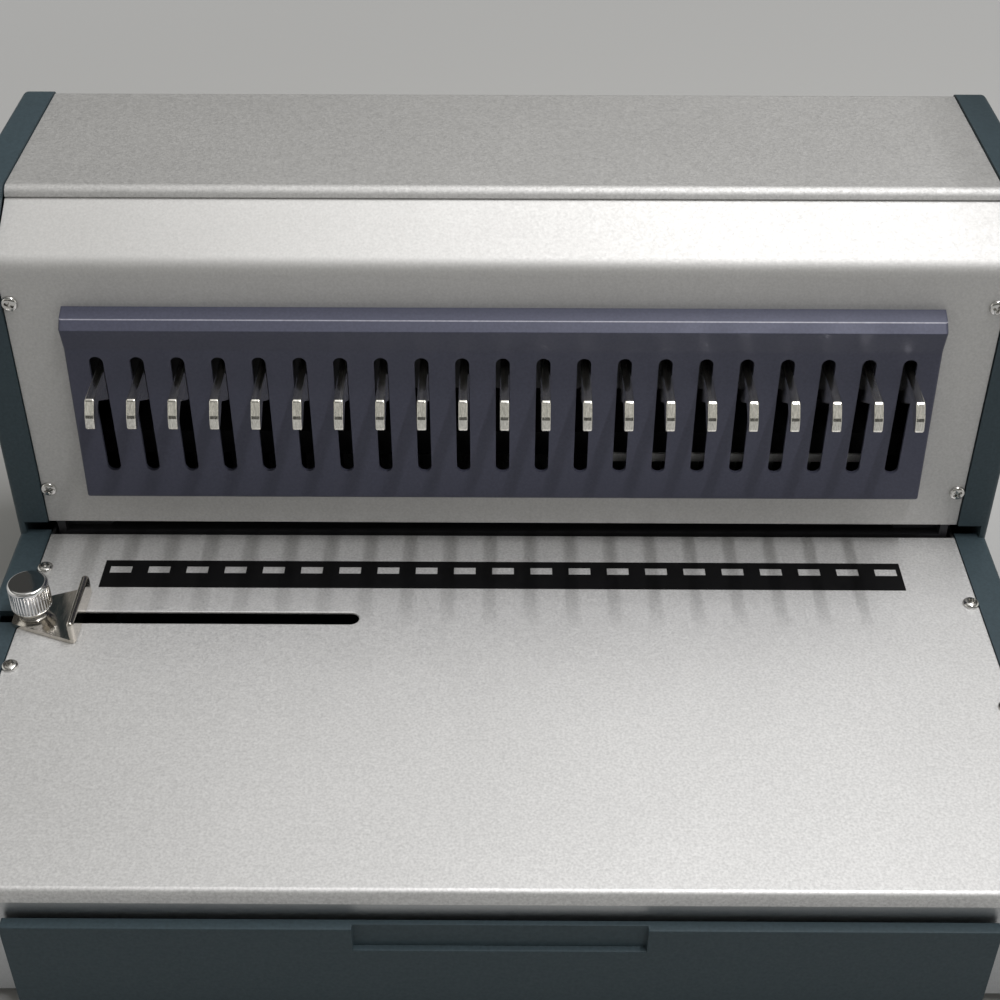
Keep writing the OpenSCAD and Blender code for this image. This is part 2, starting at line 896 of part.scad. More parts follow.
module die_plate() {
    die_gap = 0.08;
    color([0.35, 0.35, 0.37])
        difference() {
            box([-frame_x, frame_x], [table_tail + 0.3, head_y1], [table_h - die_t, table_h]);
            pin_holes(die_gap, [table_h - die_t - 1, table_h + 1]);
        }
}

module throat_spacers() {
    color([0.35, 0.35, 0.37])
        both_sides()
            box([rack_x, frame_x], [head_y0, head_y1], [table_h, guide_z0]);
}

module paper_stop() {
    stop_d = 6;
    y0 = pin_y + stop_y;
    color([0.35, 0.35, 0.37])
        box([-plate_half, plate_half], [y0, y0 + stop_d], [table_h, guide_z0]);
}

module punch_guide() {
    lead = 4;
    lead_h = 3;
    color([0.35, 0.35, 0.37])
        difference() {
            along_x([-frame_x, frame_x], [
                [head_y0, guide_z0 + lead_h], [head_y0 + lead, guide_z0], [head_y1, guide_z0],
                [head_y1, guide_z1], [head_y0, guide_z1]
            ]);
            pin_holes(fit, [guide_z0 - 1, guide_z1 + 1]);
            both_sides()
                rod_z_axis(post_x, post_y, [guide_z0 - 1, guide_z1 + 1], post_d + 2 * press);
        }
}

module guide_posts() {
    color([0.62, 0.62, 0.64])
        both_sides()
            rod_z_axis(post_x, post_y, [guide_z0, post_z1], post_d);
}

module punch_plate() {
    color([0.30, 0.30, 0.32])
        difference() {
            box([-plate_half, plate_half], [plate_y0, plate_y1], [plate_z0, plate_z1]);
            pin_holes(press, [plate_z0 - 1, plate_z0 + pin_seat]);
            both_sides()
                rod_z_axis(post_x, post_y, [plate_z0 - 1, plate_z1 + 1], post_d + 2 * fit);
        }
}

module punch_pins() {
    color([0.66, 0.66, 0.68])
        pin_holes(0, [guide_z0 + pin_tip, plate_z0 + pin_seat]);
}

// A return spring is one round wire swept along a helix, with its ends on the guide and the plate
spring_sides = 6;
spring_rings = 8;
spring_h = plate_z0 - guide_z1 - 2 * spring_end - spring_wire;
function spring_centre(s) = let (a = 360 * spring_turns * s)
    [spring_r * cos(a), spring_r * sin(a), guide_z1 + spring_end + spring_wire / 2 + spring_h * s];
function spring_point(s, k) = let (a = 360 * spring_turns * s, b = 360 * k / spring_sides)
    spring_centre(s) + spring_wire / 2 * [cos(a) * cos(b), sin(a) * cos(b), sin(b)];
spring_count = spring_turns * spring_rings;
last_ring = spring_count * spring_sides;
spring_points = [
    for (i = [0 : spring_count], k = [0 : spring_sides - 1]) spring_point(i / spring_count, k)
];
function spring_quad(i, k) = let (
    n = spring_sides,
    a = i * n + k,
    b = i * n + (k + 1) % n
) [[a, a + n, b], [b, a + n, b + n]];
spring_faces = concat(
    [for (k = [1 : spring_sides - 2]) [0, k, k + 1]],
    [for (i = [0 : spring_count - 1], k = [0 : spring_sides - 1]) each spring_quad(i, k)],
    [for (k = [1 : spring_sides - 2]) last_ring * [1, 1, 1] + [0, k + 1, k]]
);
spring_least_gap = min([
    for (i = [0 : spring_count - spring_rings])
        norm(spring_centre((i + spring_rings) / spring_count) - spring_centre(i / spring_count))
]) - spring_wire;

module return_springs() {
    color([0.66, 0.66, 0.68])
        both_sides()
            translate([post_x, post_y, 0])
                polyhedron(spring_points, spring_faces);
}

// Edge guide

guide_top = table_h + guide_lift + guide_sheet;

module edge_guide() {
    y = -guide_y;
    key_w = guide_slot_w - 2 * key_gap;
    fence_y = [y - fence_len / 2, y + fence_len / 2];
    color([0.78, 0.77, 0.75])
        difference() {
            union() {
                translate([0, 0, table_h + guide_lift])
                    linear_extrude(guide_sheet)
                        polygon([
                            [-fence_x, fence_y[0]], [-fence_x, fence_y[1]],
                            [-apex_x, y + apex_w / 2], [-apex_x, y - apex_w / 2]
                        ]);
                box([-fence_x - eps, guide_sheet - fence_x], fence_y,
                    [table_h + guide_lift, table_h + fence_h]);
                box([-nut_x - key_len / 2, -nut_x + key_len / 2], [y - key_w / 2, y + key_w / 2],
                    [table_h - sheet_t, table_h + guide_lift + eps]);
            }
            rod_z_axis(-nut_x, y, [table_h - 5, guide_top + 1], bolt_d + 2 * press);
        }
}

module clamp_bolt() {
    z1 = table_h - sheet_t - slide_gap;
    color([0.66, 0.66, 0.68])
        union() {
            box([-nut_x - bolt_head_w / 2, -nut_x + bolt_head_w / 2],
                [-guide_y - bolt_head_w / 2, -guide_y + bolt_head_w / 2], [z1 - bolt_head_t, z1]);
            rod_z_axis(-nut_x, -guide_y, [z1 - eps, guide_top + nut_h - 4], bolt_d);
        }
}

module thumb_nut() {
    collar_h = 3.4;
    collar_r = nut_d / 2 - 1.6;
    bevel = 1.2;
    flute_d = 1.1;
    r = nut_d / 2;
    color([0.80, 0.80, 0.82])
        translate([-nut_x, -guide_y, guide_top + guide_lift])
            difference() {
                rotate_extrude()
                    polygon([
                        [0, 0], [collar_r, 0], [collar_r, collar_h - 0.8], [r - 0.6, collar_h],
                        [r, collar_h + 0.6], [r, nut_h - bevel], [r - bevel, nut_h], [0, nut_h]
                    ]);
                for (i = [0 : flute_n - 1])
                    rotate([0, 0, i * 360 / flute_n])
                        translate([r + flute_d * 0.2, 0, collar_h - 0.2])
                            cylinder(h = nut_h, d = flute_d, $fn = 16);
                translate([0, 0, -1])
                    cylinder(h = nut_h - 2, d = bolt_d + 2 * fit);
            }
}

// Screws: a pan head with a cross recess, drawn with the head's seat at the origin and pointing up

module pan_screw(shank) {
    recess_w = 0.9;
    recess_l = 3.4;
    recess_h = 1.2;
    edge_h = head_h * 0.4;
    difference() {
        union() {
            rotate_extrude()
                polygon([
                    [0, 0], [head_d / 2, 0], [head_d / 2, edge_h], [head_d * 0.44, head_h * 0.72],
                    [head_d * 0.3, head_h * 0.94], [0, head_h]
                ]);
            translate([0, 0, -shank])
                cylinder(h = shank + eps, d = shank_d);
        }
        for (turn = [0, 90])
            rotate([0, 0, turn])
                translate([-recess_l / 2, -recess_w / 2, head_h - recess_h])
                    cube([recess_l, recess_w, head_h]);
    }
}

module panel_screws() {
    color([0.78, 0.78, 0.78])
        both_sides()
            for (z = panel_screw_z)
                translate([panel_screw_x, 0, table_h + z])
                    rotate([90, 0, 0])
                        pan_screw(sheet_t + flange_t + 4);
}

module table_screws() {
    color([0.78, 0.78, 0.78])
        table_screw_places()
            pan_screw(5);
}

module rear_screws() {
    color([0.78, 0.78, 0.78])
        rear_screw_places()
            rotate([-90, 0, 0])
                pan_screw(sheet_t + flange_t + 2);
}

echo(spring_least_gap = spring_least_gap);

place() base_pan();
place() table_plate();
place() front_housing();
place() top_cover();
place() left_side_panel();
place() right_side_panel();
place() left_frame();
place() right_frame();
place() comb_plate();
for (i = [0 : hole_count - 1])
    place() comb_hook(i);
place() hook_bar();
place() hook_rod();
place() hook_racks();
place() guide_rods();
place() drive_shaft();
place() shaft_bushes();
place() pinions();
place() press_cams();
place() lever_arm();
place() lever_grip();
place() punch_plate();
place() punch_pins();
place() punch_guide();
place() throat_spacers();
place() die_plate();
place() paper_stop();
place() guide_posts();
place() return_springs();
place() cam_pads();
place() edge_guide();
place() clamp_bolt();
place() thumb_nut();
place() printed_strip();
place() chip_drawer();
place() drawer_runners();
place() rubber_feet();
place() panel_screws();
place() table_screws();
place() rear_screws();
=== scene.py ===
"""Looks of a desk comb binding machine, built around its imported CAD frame.

Sizes are in millimetres in the machine's own measure: x from its middle, y from the front panel's face
with plus to the back, and z from the table's top. at() turns such a point into the frame's metres.
"""

import json
import math

import bmesh
import bpy
from mathutils import Matrix, Vector

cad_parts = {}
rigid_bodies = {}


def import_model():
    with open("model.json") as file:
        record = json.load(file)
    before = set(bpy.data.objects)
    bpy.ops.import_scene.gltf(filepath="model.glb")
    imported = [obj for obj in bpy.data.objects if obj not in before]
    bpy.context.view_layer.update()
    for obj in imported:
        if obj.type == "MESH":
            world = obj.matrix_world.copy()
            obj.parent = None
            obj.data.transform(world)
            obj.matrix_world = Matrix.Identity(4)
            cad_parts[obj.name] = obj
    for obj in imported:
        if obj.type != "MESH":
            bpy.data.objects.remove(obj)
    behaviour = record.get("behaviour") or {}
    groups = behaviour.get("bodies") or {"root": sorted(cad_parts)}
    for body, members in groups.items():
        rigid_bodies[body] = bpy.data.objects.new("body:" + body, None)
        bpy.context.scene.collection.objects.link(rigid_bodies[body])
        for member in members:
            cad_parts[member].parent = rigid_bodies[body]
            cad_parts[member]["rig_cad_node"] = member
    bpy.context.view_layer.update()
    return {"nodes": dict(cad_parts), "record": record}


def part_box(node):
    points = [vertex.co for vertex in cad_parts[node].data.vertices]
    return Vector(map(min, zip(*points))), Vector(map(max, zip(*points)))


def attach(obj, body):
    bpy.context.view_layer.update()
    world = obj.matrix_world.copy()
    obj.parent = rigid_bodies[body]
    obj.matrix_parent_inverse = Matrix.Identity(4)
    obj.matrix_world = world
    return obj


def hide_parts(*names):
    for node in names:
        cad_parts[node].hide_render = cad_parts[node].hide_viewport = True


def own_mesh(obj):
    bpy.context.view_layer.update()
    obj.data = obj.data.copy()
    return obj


MM = 0.001

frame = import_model()
table_low, table_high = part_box("table_plate")
panel_low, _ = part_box("front_housing")
ORIGIN = Vector(((table_low.x + table_high.x) / 2, panel_low.y, table_high.z))


def at(x, y, z):
    """A point of the machine, in the frame's metres."""
    return ORIGIN + Vector((x, y, z)) * MM


def machine_box(node):
    """A node's lowest and highest corner in the machine's millimetres."""
    return tuple((corner - ORIGIN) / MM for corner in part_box(node))


# Sizes that several pieces share, read from the frame or seen in the photograph
HOLE_COUNT = 21
HOLE_PITCH = 14.2875
ROW_HALF = (HOLE_COUNT - 1) / 2 * HOLE_PITCH
COVER_HALF = (table_high.x - table_low.x) / 2 / MM
SIDE_IN = COVER_HALF + 0.3
SHEET = 1.2
THROAT_H = 5.6


def row_x(i):
    """The x of the row's hole i, from 0 at the left; a half lies between two holes."""
    return i * HOLE_PITCH - ROW_HALF


# Outlines

def rectangle(u, v):
    """An outline from its two (low, high) pairs."""
    return [(u[0], v[0]), (u[1], v[0]), (u[1], v[1]), (u[0], v[1])]


def arc(centre, radius, start, end, steps):
    """Points on a circle in a plane, between two angles in degrees."""
    points = []
    for i in range(steps + 1):
        angle = math.radians(start + (end - start) * i / steps)
        points.append((centre[0] + radius * math.cos(angle), centre[1] + radius * math.sin(angle)))
    return points


def rounded(corners, steps=6, closed=True):
    """An outline from (u, v, radius) corners, each rounded with its own radius."""
    points = []
    count = len(corners)
    for i, (u, v, radius) in enumerate(corners):
        if not closed and i in (0, count - 1):
            points.append((u, v))
            continue
        here = Vector((u, v))
        before = Vector(corners[i - 1][:2]) - here
        after = Vector(corners[(i + 1) % count][:2]) - here
        before.normalize()
        after.normalize()
        half = before.angle(after) / 2
        if radius <= 0 or half > math.radians(89.5):
            points.append((u, v))
            continue
        reach = radius / math.tan(half)
        middle = here + (before + after).normalized() * (radius / math.sin(half))
        first = here + before * reach - middle
        last = here + after * reach - middle
        turn = first.angle_signed(last)
        for s in range(steps + 1):
            arm = Matrix.Rotation(-turn * s / steps, 2) @ first
            points.append(tuple(middle + arm))
    return points


def sheet_outline(path, thickness):
    """The closed section of a bent sheet: a path and the same path moved to its left by the thickness."""
    points = [Vector(p) for p in path]
    other = []
    for i, here in enumerate(points):
        sides = []
        if i > 0:
            sides.append((here - points[i - 1]).normalized())
        if i < len(points) - 1:
            sides.append((points[i + 1] - here).normalized())
        normals = [Vector((-s.y, s.x)) for s in sides]
        mean = sum(normals, Vector((0, 0))).normalized()
        other.append(here + mean * (thickness / mean.dot(normals[0])))
    return [tuple(p) for p in points] + [tuple(p) for p in reversed(other)]


def inset(outline, depth):
    """An outline with each side moved inwards by a depth; the outline runs anticlockwise."""
    points = [Vector(p) for p in outline]
    count = len(points)
    result = []
    for i, here in enumerate(points):
        before = (here - points[i - 1]).normalized()
        after = (points[(i + 1) % count] - here).normalized()
        first = Vector((-before.y, before.x))
        second = Vector((-after.y, after.x))
        mean = (first + second).normalized()
        result.append(tuple(here + mean * (depth / mean.dot(first))))
    return result


# Meshes

def add_object(name, mesh, material):
    obj = bpy.data.objects.new(name, mesh)
    bpy.context.scene.collection.objects.link(obj)
    if material is not None:
        mesh.materials.clear()
        mesh.materials.append(material)
    return obj


def closed_mesh(name, points, faces, material=None):
    """An object from points in metres, with its faces turned outwards."""
    mesh = bpy.data.meshes.new(name)
    mesh.from_pydata(points, [], faces)
    work = bmesh.new()
    work.from_mesh(mesh)
    bmesh.ops.remove_doubles(work, verts=work.verts, dist=1e-7)
    bmesh.ops.recalc_face_normals(work, faces=work.faces)
    work.to_mesh(mesh)
    work.free()
    return add_object(name, mesh, material)


def solid(name, points, faces, material=None):
    """The same from points of the machine."""
    return closed_mesh(name, [at(*p) for p in points], faces, material)


def prism_data(outline, low, high, place):
    """Points and faces of an outline drawn out between two levels; place(u, v, level) gives each point."""
    count = len(outline)
    points = [place(u, v, low) for u, v in outline] + [place(u, v, high) for u, v in outline]
    faces = [tuple(range(count)), tuple(range(count, 2 * count))]
    for i in range(count):
        j = (i + 1) % count
        faces.append((i, j, count + j, count + i))
    return points, faces


def along_x(y, z, x):
    return x, y, z


def along_z(x, y, z):
    return x, y, z


def along_y(x, z, y):
    return x, y, z


def prisms(name, outlines, low, high, material=None, place=along_x):
    """Several outlines drawn out between the same two levels, in one mesh."""
    points = []
    faces = []
    for outline in outlines:
        more, rings = prism_data(outline, low, high, place)
        faces += [tuple(i + len(points) for i in ring) for ring in rings]
        points += more
    return solid(name, points, faces, material)


def prism(name, outline, low, high, material=None, place=along_x):
    return prisms(name, [outline], low, high, material, place)


def loft(name, outlines, levels, material=None, place=along_x):
    """A solid through outlines of equal length, one at each level."""
    count = len(outlines[0])
    points = [place(u, v, level) for outline, level in zip(outlines, levels) for u, v in outline]
    faces = [tuple(range(count)), tuple(range(len(points) - count, len(points)))]
    for k in range(len(levels) - 1):
        for i in range(count):
            j = (i + 1) % count
            faces.append((k * count + i, k * count + j, (k + 1) * count + j, (k + 1) * count + i))
    return solid(name, points, faces, material)


def round_over(outline, start, end, radius, steps=5):
    """Outlines and levels from start to end, the last of them drawn in along a quarter circle."""
    sign = 1 if end > start else -1
    outlines = [outline]
    levels = [start]
    for s in range(steps + 1):
        angle = math.pi / 2 * s / steps
        outlines.append(inset(outline, radius * (1 - math.cos(angle))))
        levels.append(end - sign * radius * (1 - math.sin(angle)))
    return outlines, levels


def tumbled(outline, low, high, radius, steps=3):
    """Outlines and levels of a plate between two levels, its edges rounded on both sides."""
    outlines = []
    levels = []
    for s in range(steps + 1):
        angle = math.pi / 2 * s / steps
        outlines.append(inset(outline, radius * (1 - math.sin(angle))))
        levels.append(radius * (1 - math.cos(angle)))
    return outlines + outlines[::-1], [low + d for d in levels] + [high - d for d in reversed(levels)]


def box(name, x, y, z, material=None):
    return prism(name, rectangle(x, y), z[0], z[1], material, along_z)


def stadium(centre_u, low, high, width, steps=10):
    """An upright slot with round ends, as an outline."""
    r = width / 2
    top = arc((centre_u, high - r), r, 0, 180, steps)
    bottom = arc((centre_u, low + r), r, 180, 360, steps)
    return top + bottom


def lathe(name, rings, material, sides=64, ripple=None):
    """A turned solid about the local Z axis from (radius, height) rings, in millimetres about the origin.
    ripple(angle, radius, height) may change a ring's radius at an angle."""
    points = []
    faces = []
    for radius, height in rings:
        for s in range(sides):
            angle = 2 * math.pi * s / sides
            r = ripple(angle, radius, height) if ripple else radius
            points.append((r * math.cos(angle) * MM, r * math.sin(angle) * MM, height * MM))
    for k in range(len(rings) - 1):
        for s in range(sides):
            t = (s + 1) % sides
            faces.append((k * sides + s, k * sides + t, (k + 1) * sides + t, (k + 1) * sides + s))
    faces.append(tuple(reversed(range(sides))))
    faces.append(tuple(range((len(rings) - 1) * sides, len(rings) * sides)))
    mesh = bpy.data.meshes.new(name)
    mesh.from_pydata(points, [], faces)
    return add_object(name, mesh, material)


def move(obj, matrix):
    obj.data.transform(matrix)
    return obj


def final_mesh(obj):
    """Turn an object's modifiers into its mesh."""
    bpy.context.view_layer.update()
    graph = bpy.context.evaluated_depsgraph_get()
    mesh = bpy.data.meshes.new_from_object(obj.evaluated_get(graph))
    obj.modifiers.clear()
    obj.data = mesh


# How far a cutter reaches past what it cuts
CUT_PAST = 3.0


def carve(obj, cutters):
    """Cut the cutters out of an object and remove them."""
    for cutter in cutters:
        change = obj.modifiers.new("cut", "BOOLEAN")
        change.operation = "DIFFERENCE"
        change.solver = "EXACT"
        change.object = cutter
    final_mesh(obj)
    for cutter in cutters:
        drop(cutter)


def drop(obj):
    mesh = obj.data
    bpy.data.objects.remove(obj)
    bpy.data.meshes.remove(mesh)


def join(name, objects):
    """One object from several, each with its own material kept."""
    work = bmesh.new()
    materials = []
    for obj in objects:
        final_mesh(obj)
        part = bmesh.new()
        part.from_mesh(obj.data)
        slots = list(obj.data.materials)
        for face in part.faces:
            own = slots[face.material_index] if slots else None
            if own not in materials:
                materials.append(own)
            face.material_index = materials.index(own)
        scratch = bpy.data.meshes.new("scratch")
        part.to_mesh(scratch)
        part.free()
        work.from_mesh(scratch)
        bpy.data.meshes.remove(scratch)
    mesh = bpy.data.meshes.new(name)
    work.to_mesh(mesh)
    work.free()
    for material in materials:
        mesh.materials.append(material)
    for obj in objects:
        drop(obj)
    result = bpy.data.objects.new(name, mesh)
    bpy.context.scene.collection.objects.link(result)
    return result


def soften(obj, width, segments=2, angle=35):
    """Round an object's sharp edges and shade it smooth."""
    weld = obj.modifiers.new("weld", "WELD")
    weld.merge_threshold = 1e-6
    bevel = obj.modifiers.new("bevel", "BEVEL")
    bevel.width = width * MM
    bevel.segments = segments
    bevel.limit_method = "ANGLE"
    bevel.angle_limit = math.radians(angle)
    bevel.use_clamp_overlap = True
    bevel.harden_normals = False
    if "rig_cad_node" not in obj:
        shade(obj, 180)
    obj.modifiers.new("normals", "WEIGHTED_NORMAL")


def shade(obj, angle=40):
    """Smooth shading with edges kept sharp above an angle."""
    obj.data.polygons.foreach_set("use_smooth", [True] * len(obj.data.polygons))
    obj.data.set_sharp_from_angle(angle=math.radians(angle))
    obj.data.update()
    return obj


def finish_piece(obj, body, nodes=()):
    """Put a new piece on its body, in place of CAD nodes."""
    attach(obj, body)
    if nodes:
        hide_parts(*nodes)


# Materials: each has its own colour variation, roughness and bump, at real sizes

NOISE_LOW, NOISE_HIGH = 0.3, 0.7


def new_material(name, metallic=0.0, roughness=0.5, specular=0.5):
    material = bpy.data.materials.new(name)
    material.use_nodes = True
    tree = material.node_tree
    shader = tree.nodes["Principled BSDF"]
    shader.inputs["Metallic"].default_value = metallic
    shader.inputs["Roughness"].default_value = roughness
    shader.inputs["Specular IOR Level"].default_value = specular
    return material, tree, shader


def noise(tree, grain, detail=2.0, stretch=(1, 1, 1), rough=0.5):
    """A noise whose cells are about grain millimetres across; stretch lengthens them along an axis."""
    place = tree.nodes.new("ShaderNodeTexCoord")
    scale = tree.nodes.new("ShaderNodeMapping")
    scale.inputs["Scale"].default_value = [1 / s for s in stretch]
    texture = tree.nodes.new("ShaderNodeTexNoise")
    texture.inputs["Scale"].default_value = 1 / (grain * MM)
    texture.inputs["Detail"].default_value = detail
    texture.inputs["Roughness"].default_value = rough
    tree.links.new(place.outputs["Object"], scale.inputs["Vector"])
    tree.links.new(scale.outputs["Vector"], texture.inputs["Vector"])
    return texture.outputs["Fac"]


def cells(tree, grain):
    """Small flat cells with a random grey each, as of metal flakes in paint."""
    place = tree.nodes.new("ShaderNodeTexCoord")
    texture = tree.nodes.new("ShaderNodeTexVoronoi")
    texture.inputs["Scale"].default_value = 1 / (grain * MM)
    tree.links.new(place.outputs["Object"], texture.inputs["Vector"])
    grey = tree.nodes.new("ShaderNodeRGBToBW")
    tree.links.new(texture.outputs["Color"], grey.inputs["Color"])
    return grey.outputs["Val"]


def ramp(tree, factor, stops):
    """Colours (or greys) along a factor: stops are (position, colour)."""
    node = tree.nodes.new("ShaderNodeValToRGB")
    elements = node.color_ramp.elements
    while len(elements) < len(stops):
        elements.new(0.5)
    for element, (position, colour) in zip(elements, stops):
        element.position = position
        element.color = (*colour, 1.0) if len(colour) == 3 else colour
    tree.links.new(factor, node.inputs["Fac"])
    return node.outputs["Color"]


def between(tree, factor, low, high, start=NOISE_LOW, end=NOISE_HIGH):
    """A factor stretched from start..end to low..high."""
    node = tree.nodes.new("ShaderNodeMapRange")
    node.inputs["From Min"].default_value = start
    node.inputs["From Max"].default_value = end
    node.inputs["To Min"].default_value = low
    node.inputs["To Max"].default_value = high
    tree.links.new(factor, node.inputs["Value"])
    return node.outputs["Result"]


def combined(tree, operation, *values):
    """One number from one or two others."""
    node = tree.nodes.new("ShaderNodeMath")
    node.operation = operation
    for value, socket in zip(values, node.inputs):
        tree.links.new(value, socket)
    return node.outputs["Value"]


def product(tree, first, second):
    """Two colours multiplied."""
    node = tree.nodes.new("ShaderNodeMix")
    node.data_type = "RGBA"
    node.blend_type = "MULTIPLY"
    node.inputs["Factor"].default_value = 1.0
    tree.links.new(first, node.inputs["A"])
    tree.links.new(second, node.inputs["B"])
    return node.outputs["Result"]


def bump(tree, shader, height, depth, strength=1.0):
    """Relief of about depth millimetres."""
    node = tree.nodes.new("ShaderNodeBump")
    node.inputs["Strength"].default_value = strength
    node.inputs["Distance"].default_value = depth * MM
    tree.links.new(height, node.inputs["Height"])
    tree.links.new(node.outputs["Normal"], shader.inputs["Normal"])


def graded(tree, factor, colour, low, high):
    """A colour that runs from low to high times itself over a noise's usual range."""
    dark, light = (tuple(c * share for c in colour) for share in (low, high))
    return ramp(tree, factor, [(NOISE_LOW, dark), (NOISE_HIGH, light)])


def coat(tree, shader, colour, rough):
    """Link a material's colour and roughness."""
    tree.links.new(colour, shader.inputs["Base Color"])
    tree.links.new(rough, shader.inputs["Roughness"])


def silver_paint(name, colour, grain=1.0, rough=0.61):
    """Satin silver paint: metal flakes in a faint orange peel; grain says how strongly they show."""
    material, tree, shader = new_material(name, metallic=0.76, specular=0.3)
    flake, peel, patch = 0.9, 1.2, 60
    spread = 0.06 * grain
    marks = noise(tree, flake, detail=3.0, rough=0.6)
    flakes = graded(tree, marks, colour, 1 - 0.15 * grain, 1 + 0.11 * grain)
    cloud = graded(tree, noise(tree, patch), (1, 1, 1), 0.96, 1)
    dull = between(tree, cells(tree, flake), rough - spread, rough + spread, 0.0, 1.0)
    coat(tree, shader, product(tree, flakes, cloud), dull)
    bump(tree, shader, noise(tree, peel, detail=2.5), 0.05 * grain, 0.5)
    return material


def side_plastic():
    """Moulded blue-grey plastic with a fine spark-eroded texture."""
    material, tree, shader = new_material("side_plastic", specular=0.3)
    colour = graded(tree, noise(tree, 1.2, 3.0), (0.044, 0.067, 0.080), 0.88, 1.10)
    coat(tree, shader, colour, between(tree, noise(tree, 2.5), 0.50, 0.58))
    bump(tree, shader, noise(tree, 0.6, 2.0), 0.03, 0.6)
    return material


def slate_paint():
    """Dark slate paint, satin and slightly uneven."""
    material, tree, shader = new_material("slate_paint", specular=0.5)
    shader.inputs["Specular Tint"].default_value = (0.80, 0.82, 1.0, 1.0)
    colour = graded(tree, noise(tree, 1.0, 3.0), (0.066, 0.069, 0.100), 0.9, 1.1)
    coat(tree, shader, colour, between(tree, noise(tree, 14), 0.44, 0.52))
    bump(tree, shader, noise(tree, 1.0, 2.0), 0.02, 0.4)
    return material


def worn_metal(name, colour, rough, grain=(0.5, 1, 1), wear=0.12, relief=0.015, metallic=1.0):
    """Bare or plated metal with fine marks; grain stretches the marks along an axis."""
    material, tree, shader = new_material(name, metallic=metallic)
    marks = noise(tree, 0.35, 4.0, grain, 0.65)
    colour = graded(tree, marks, colour, 1 - wear, 1 + wear / 2)
    coat(tree, shader, colour, between(tree, noise(tree, 1.6, 3.0, grain), *rough))
    bump(tree, shader, marks, relief, 0.5)
    return material


def plain_plastic(name, colour, rough, grain=0.6, relief=0.03, specular=0.5):
    """Plastic, rubber or ink with a fine grain."""
    material, tree, shader = new_material(name, specular=specular)
    colour = graded(tree, noise(tree, grain, 3.0), colour, 0.85, 1.15)
    coat(tree, shader, colour, between(tree, noise(tree, 6), *rough))
    bump(tree, shader, noise(tree, grain, 2.0), relief, 0.5)
    return material


SILVER = silver_paint("silver_paint", (0.635, 0.630, 0.622), grain=0.55)
# A darker copy of the silver paint for the top cover: painted shade.
SILVER_TOP_SHADED = silver_paint("silver_top_painted_shade", (0.565, 0.561, 0.553), rough=0.59)
# A lighter copy of the silver paint for the table and the window bar: painted light.
SILVER_TABLE_LIT = silver_paint("silver_table_painted_light", (0.725, 0.722, 0.720), rough=0.57)
PLASTIC = side_plastic()
SLATE = slate_paint()
# A lighter slate for the lip's fold: a painted highlight, the thin bright line along the fold.
SLATE_FOLD_HIGHLIGHT = plain_plastic("slate_fold_painted_highlight", (0.30, 0.30, 0.36), (0.38, 0.46), 1.0, 0.006)
HOOK_STEEL = worn_metal("hook_steel", (0.88, 0.86, 0.80), (0.17, 0.28), (1, 60, 4), wear=0.30, relief=0.003)
TOOL_STEEL = worn_metal("tool_steel", (0.56, 0.56, 0.57), (0.25, 0.38))
# Near-black steel: the frame's own dark steel, and also painted shade on the inner parts below.
DARK_STEEL_AND_SHADE = worn_metal("dark_steel", (0.060, 0.060, 0.065), (0.42, 0.56), metallic=0.8)
PLATED = worn_metal("plated_sheet", (0.50, 0.51, 0.52), (0.34, 0.48))
CHROME = worn_metal("chrome", (0.80, 0.80, 0.81), (0.04, 0.10), wear=0.04, relief=0.002)
NICKEL = worn_metal("nickel_sheet", (0.68, 0.64, 0.58), (0.08, 0.20), (1, 6, 1), wear=0.24, relief=0.003)
# A paler, rougher nickel for the guide's rounded edges: a painted highlight along its rims.
NICKEL_EDGE_HIGHLIGHT = worn_metal("nickel_edge_painted_highlight", (0.96, 0.92, 0.85), (0.50, 0.60), wear=0.1, relief=0.003)
BRASS = worn_metal("brass", (0.62, 0.44, 0.18), (0.28, 0.4))
ZINC = worn_metal("screw_zinc", (0.72, 0.71, 0.69), (0.12, 0.24), wear=0.12, relief=0.006)
RUBBER = plain_plastic("rubber", (0.014, 0.014, 0.014), (0.7, 0.85), 0.4, 0.05)
GRIP = plain_plastic("grip_plastic", (0.012, 0.012, 0.013), (0.42, 0.55), 0.5, 0.04)
PRINT = plain_plastic("black_print", (0.0030, 0.0030, 0.0035), (0.42, 0.52), 1.4, 0.006, 0.15)

NODE_MATERIALS = {
    "silver_paint": SILVER, "side_plastic": PLASTIC, "slate_paint": SLATE, "hook_steel": HOOK_STEEL,
    "tool_steel": TOOL_STEEL, "dark_steel": DARK_STEEL_AND_SHADE, "plated_sheet": PLATED, "chrome": CHROME,
    "nickel_sheet": NICKEL, "brass": BRASS, "rubber": RUBBER, "grip_plastic": GRIP, "black_print": PRINT,
    "screw_zinc": ZINC,
}
for entry in frame["record"]["subparts"]:
    data = frame["nodes"][entry["node"]].data
    data.materials.clear()
    data.materials.append(NODE_MATERIALS[entry["material_slot"]])
# The inner frames, spacers, hook bar and punch parts, seen only through the throat and the slots, are
# coloured near-black steel: painted shade that keeps the throat and the slots dark.
for name in ("throat_spacers", "left_frame", "right_frame", "hook_bar", "punch_plate", "punch_guide"):
    frame["nodes"][name].data.materials[0] = DARK_STEEL_AND_SHADE


# Covers

BEND_R = 7.0
PANEL_H = 117.0
BAND_RUN = 25.0
BAND_RISE = 13.0
BAND_TUCK = 2.0
BAND_ANGLE = math.degrees(math.atan2(BAND_RISE, BAND_RUN))
SMALL_EDGE = 0.25


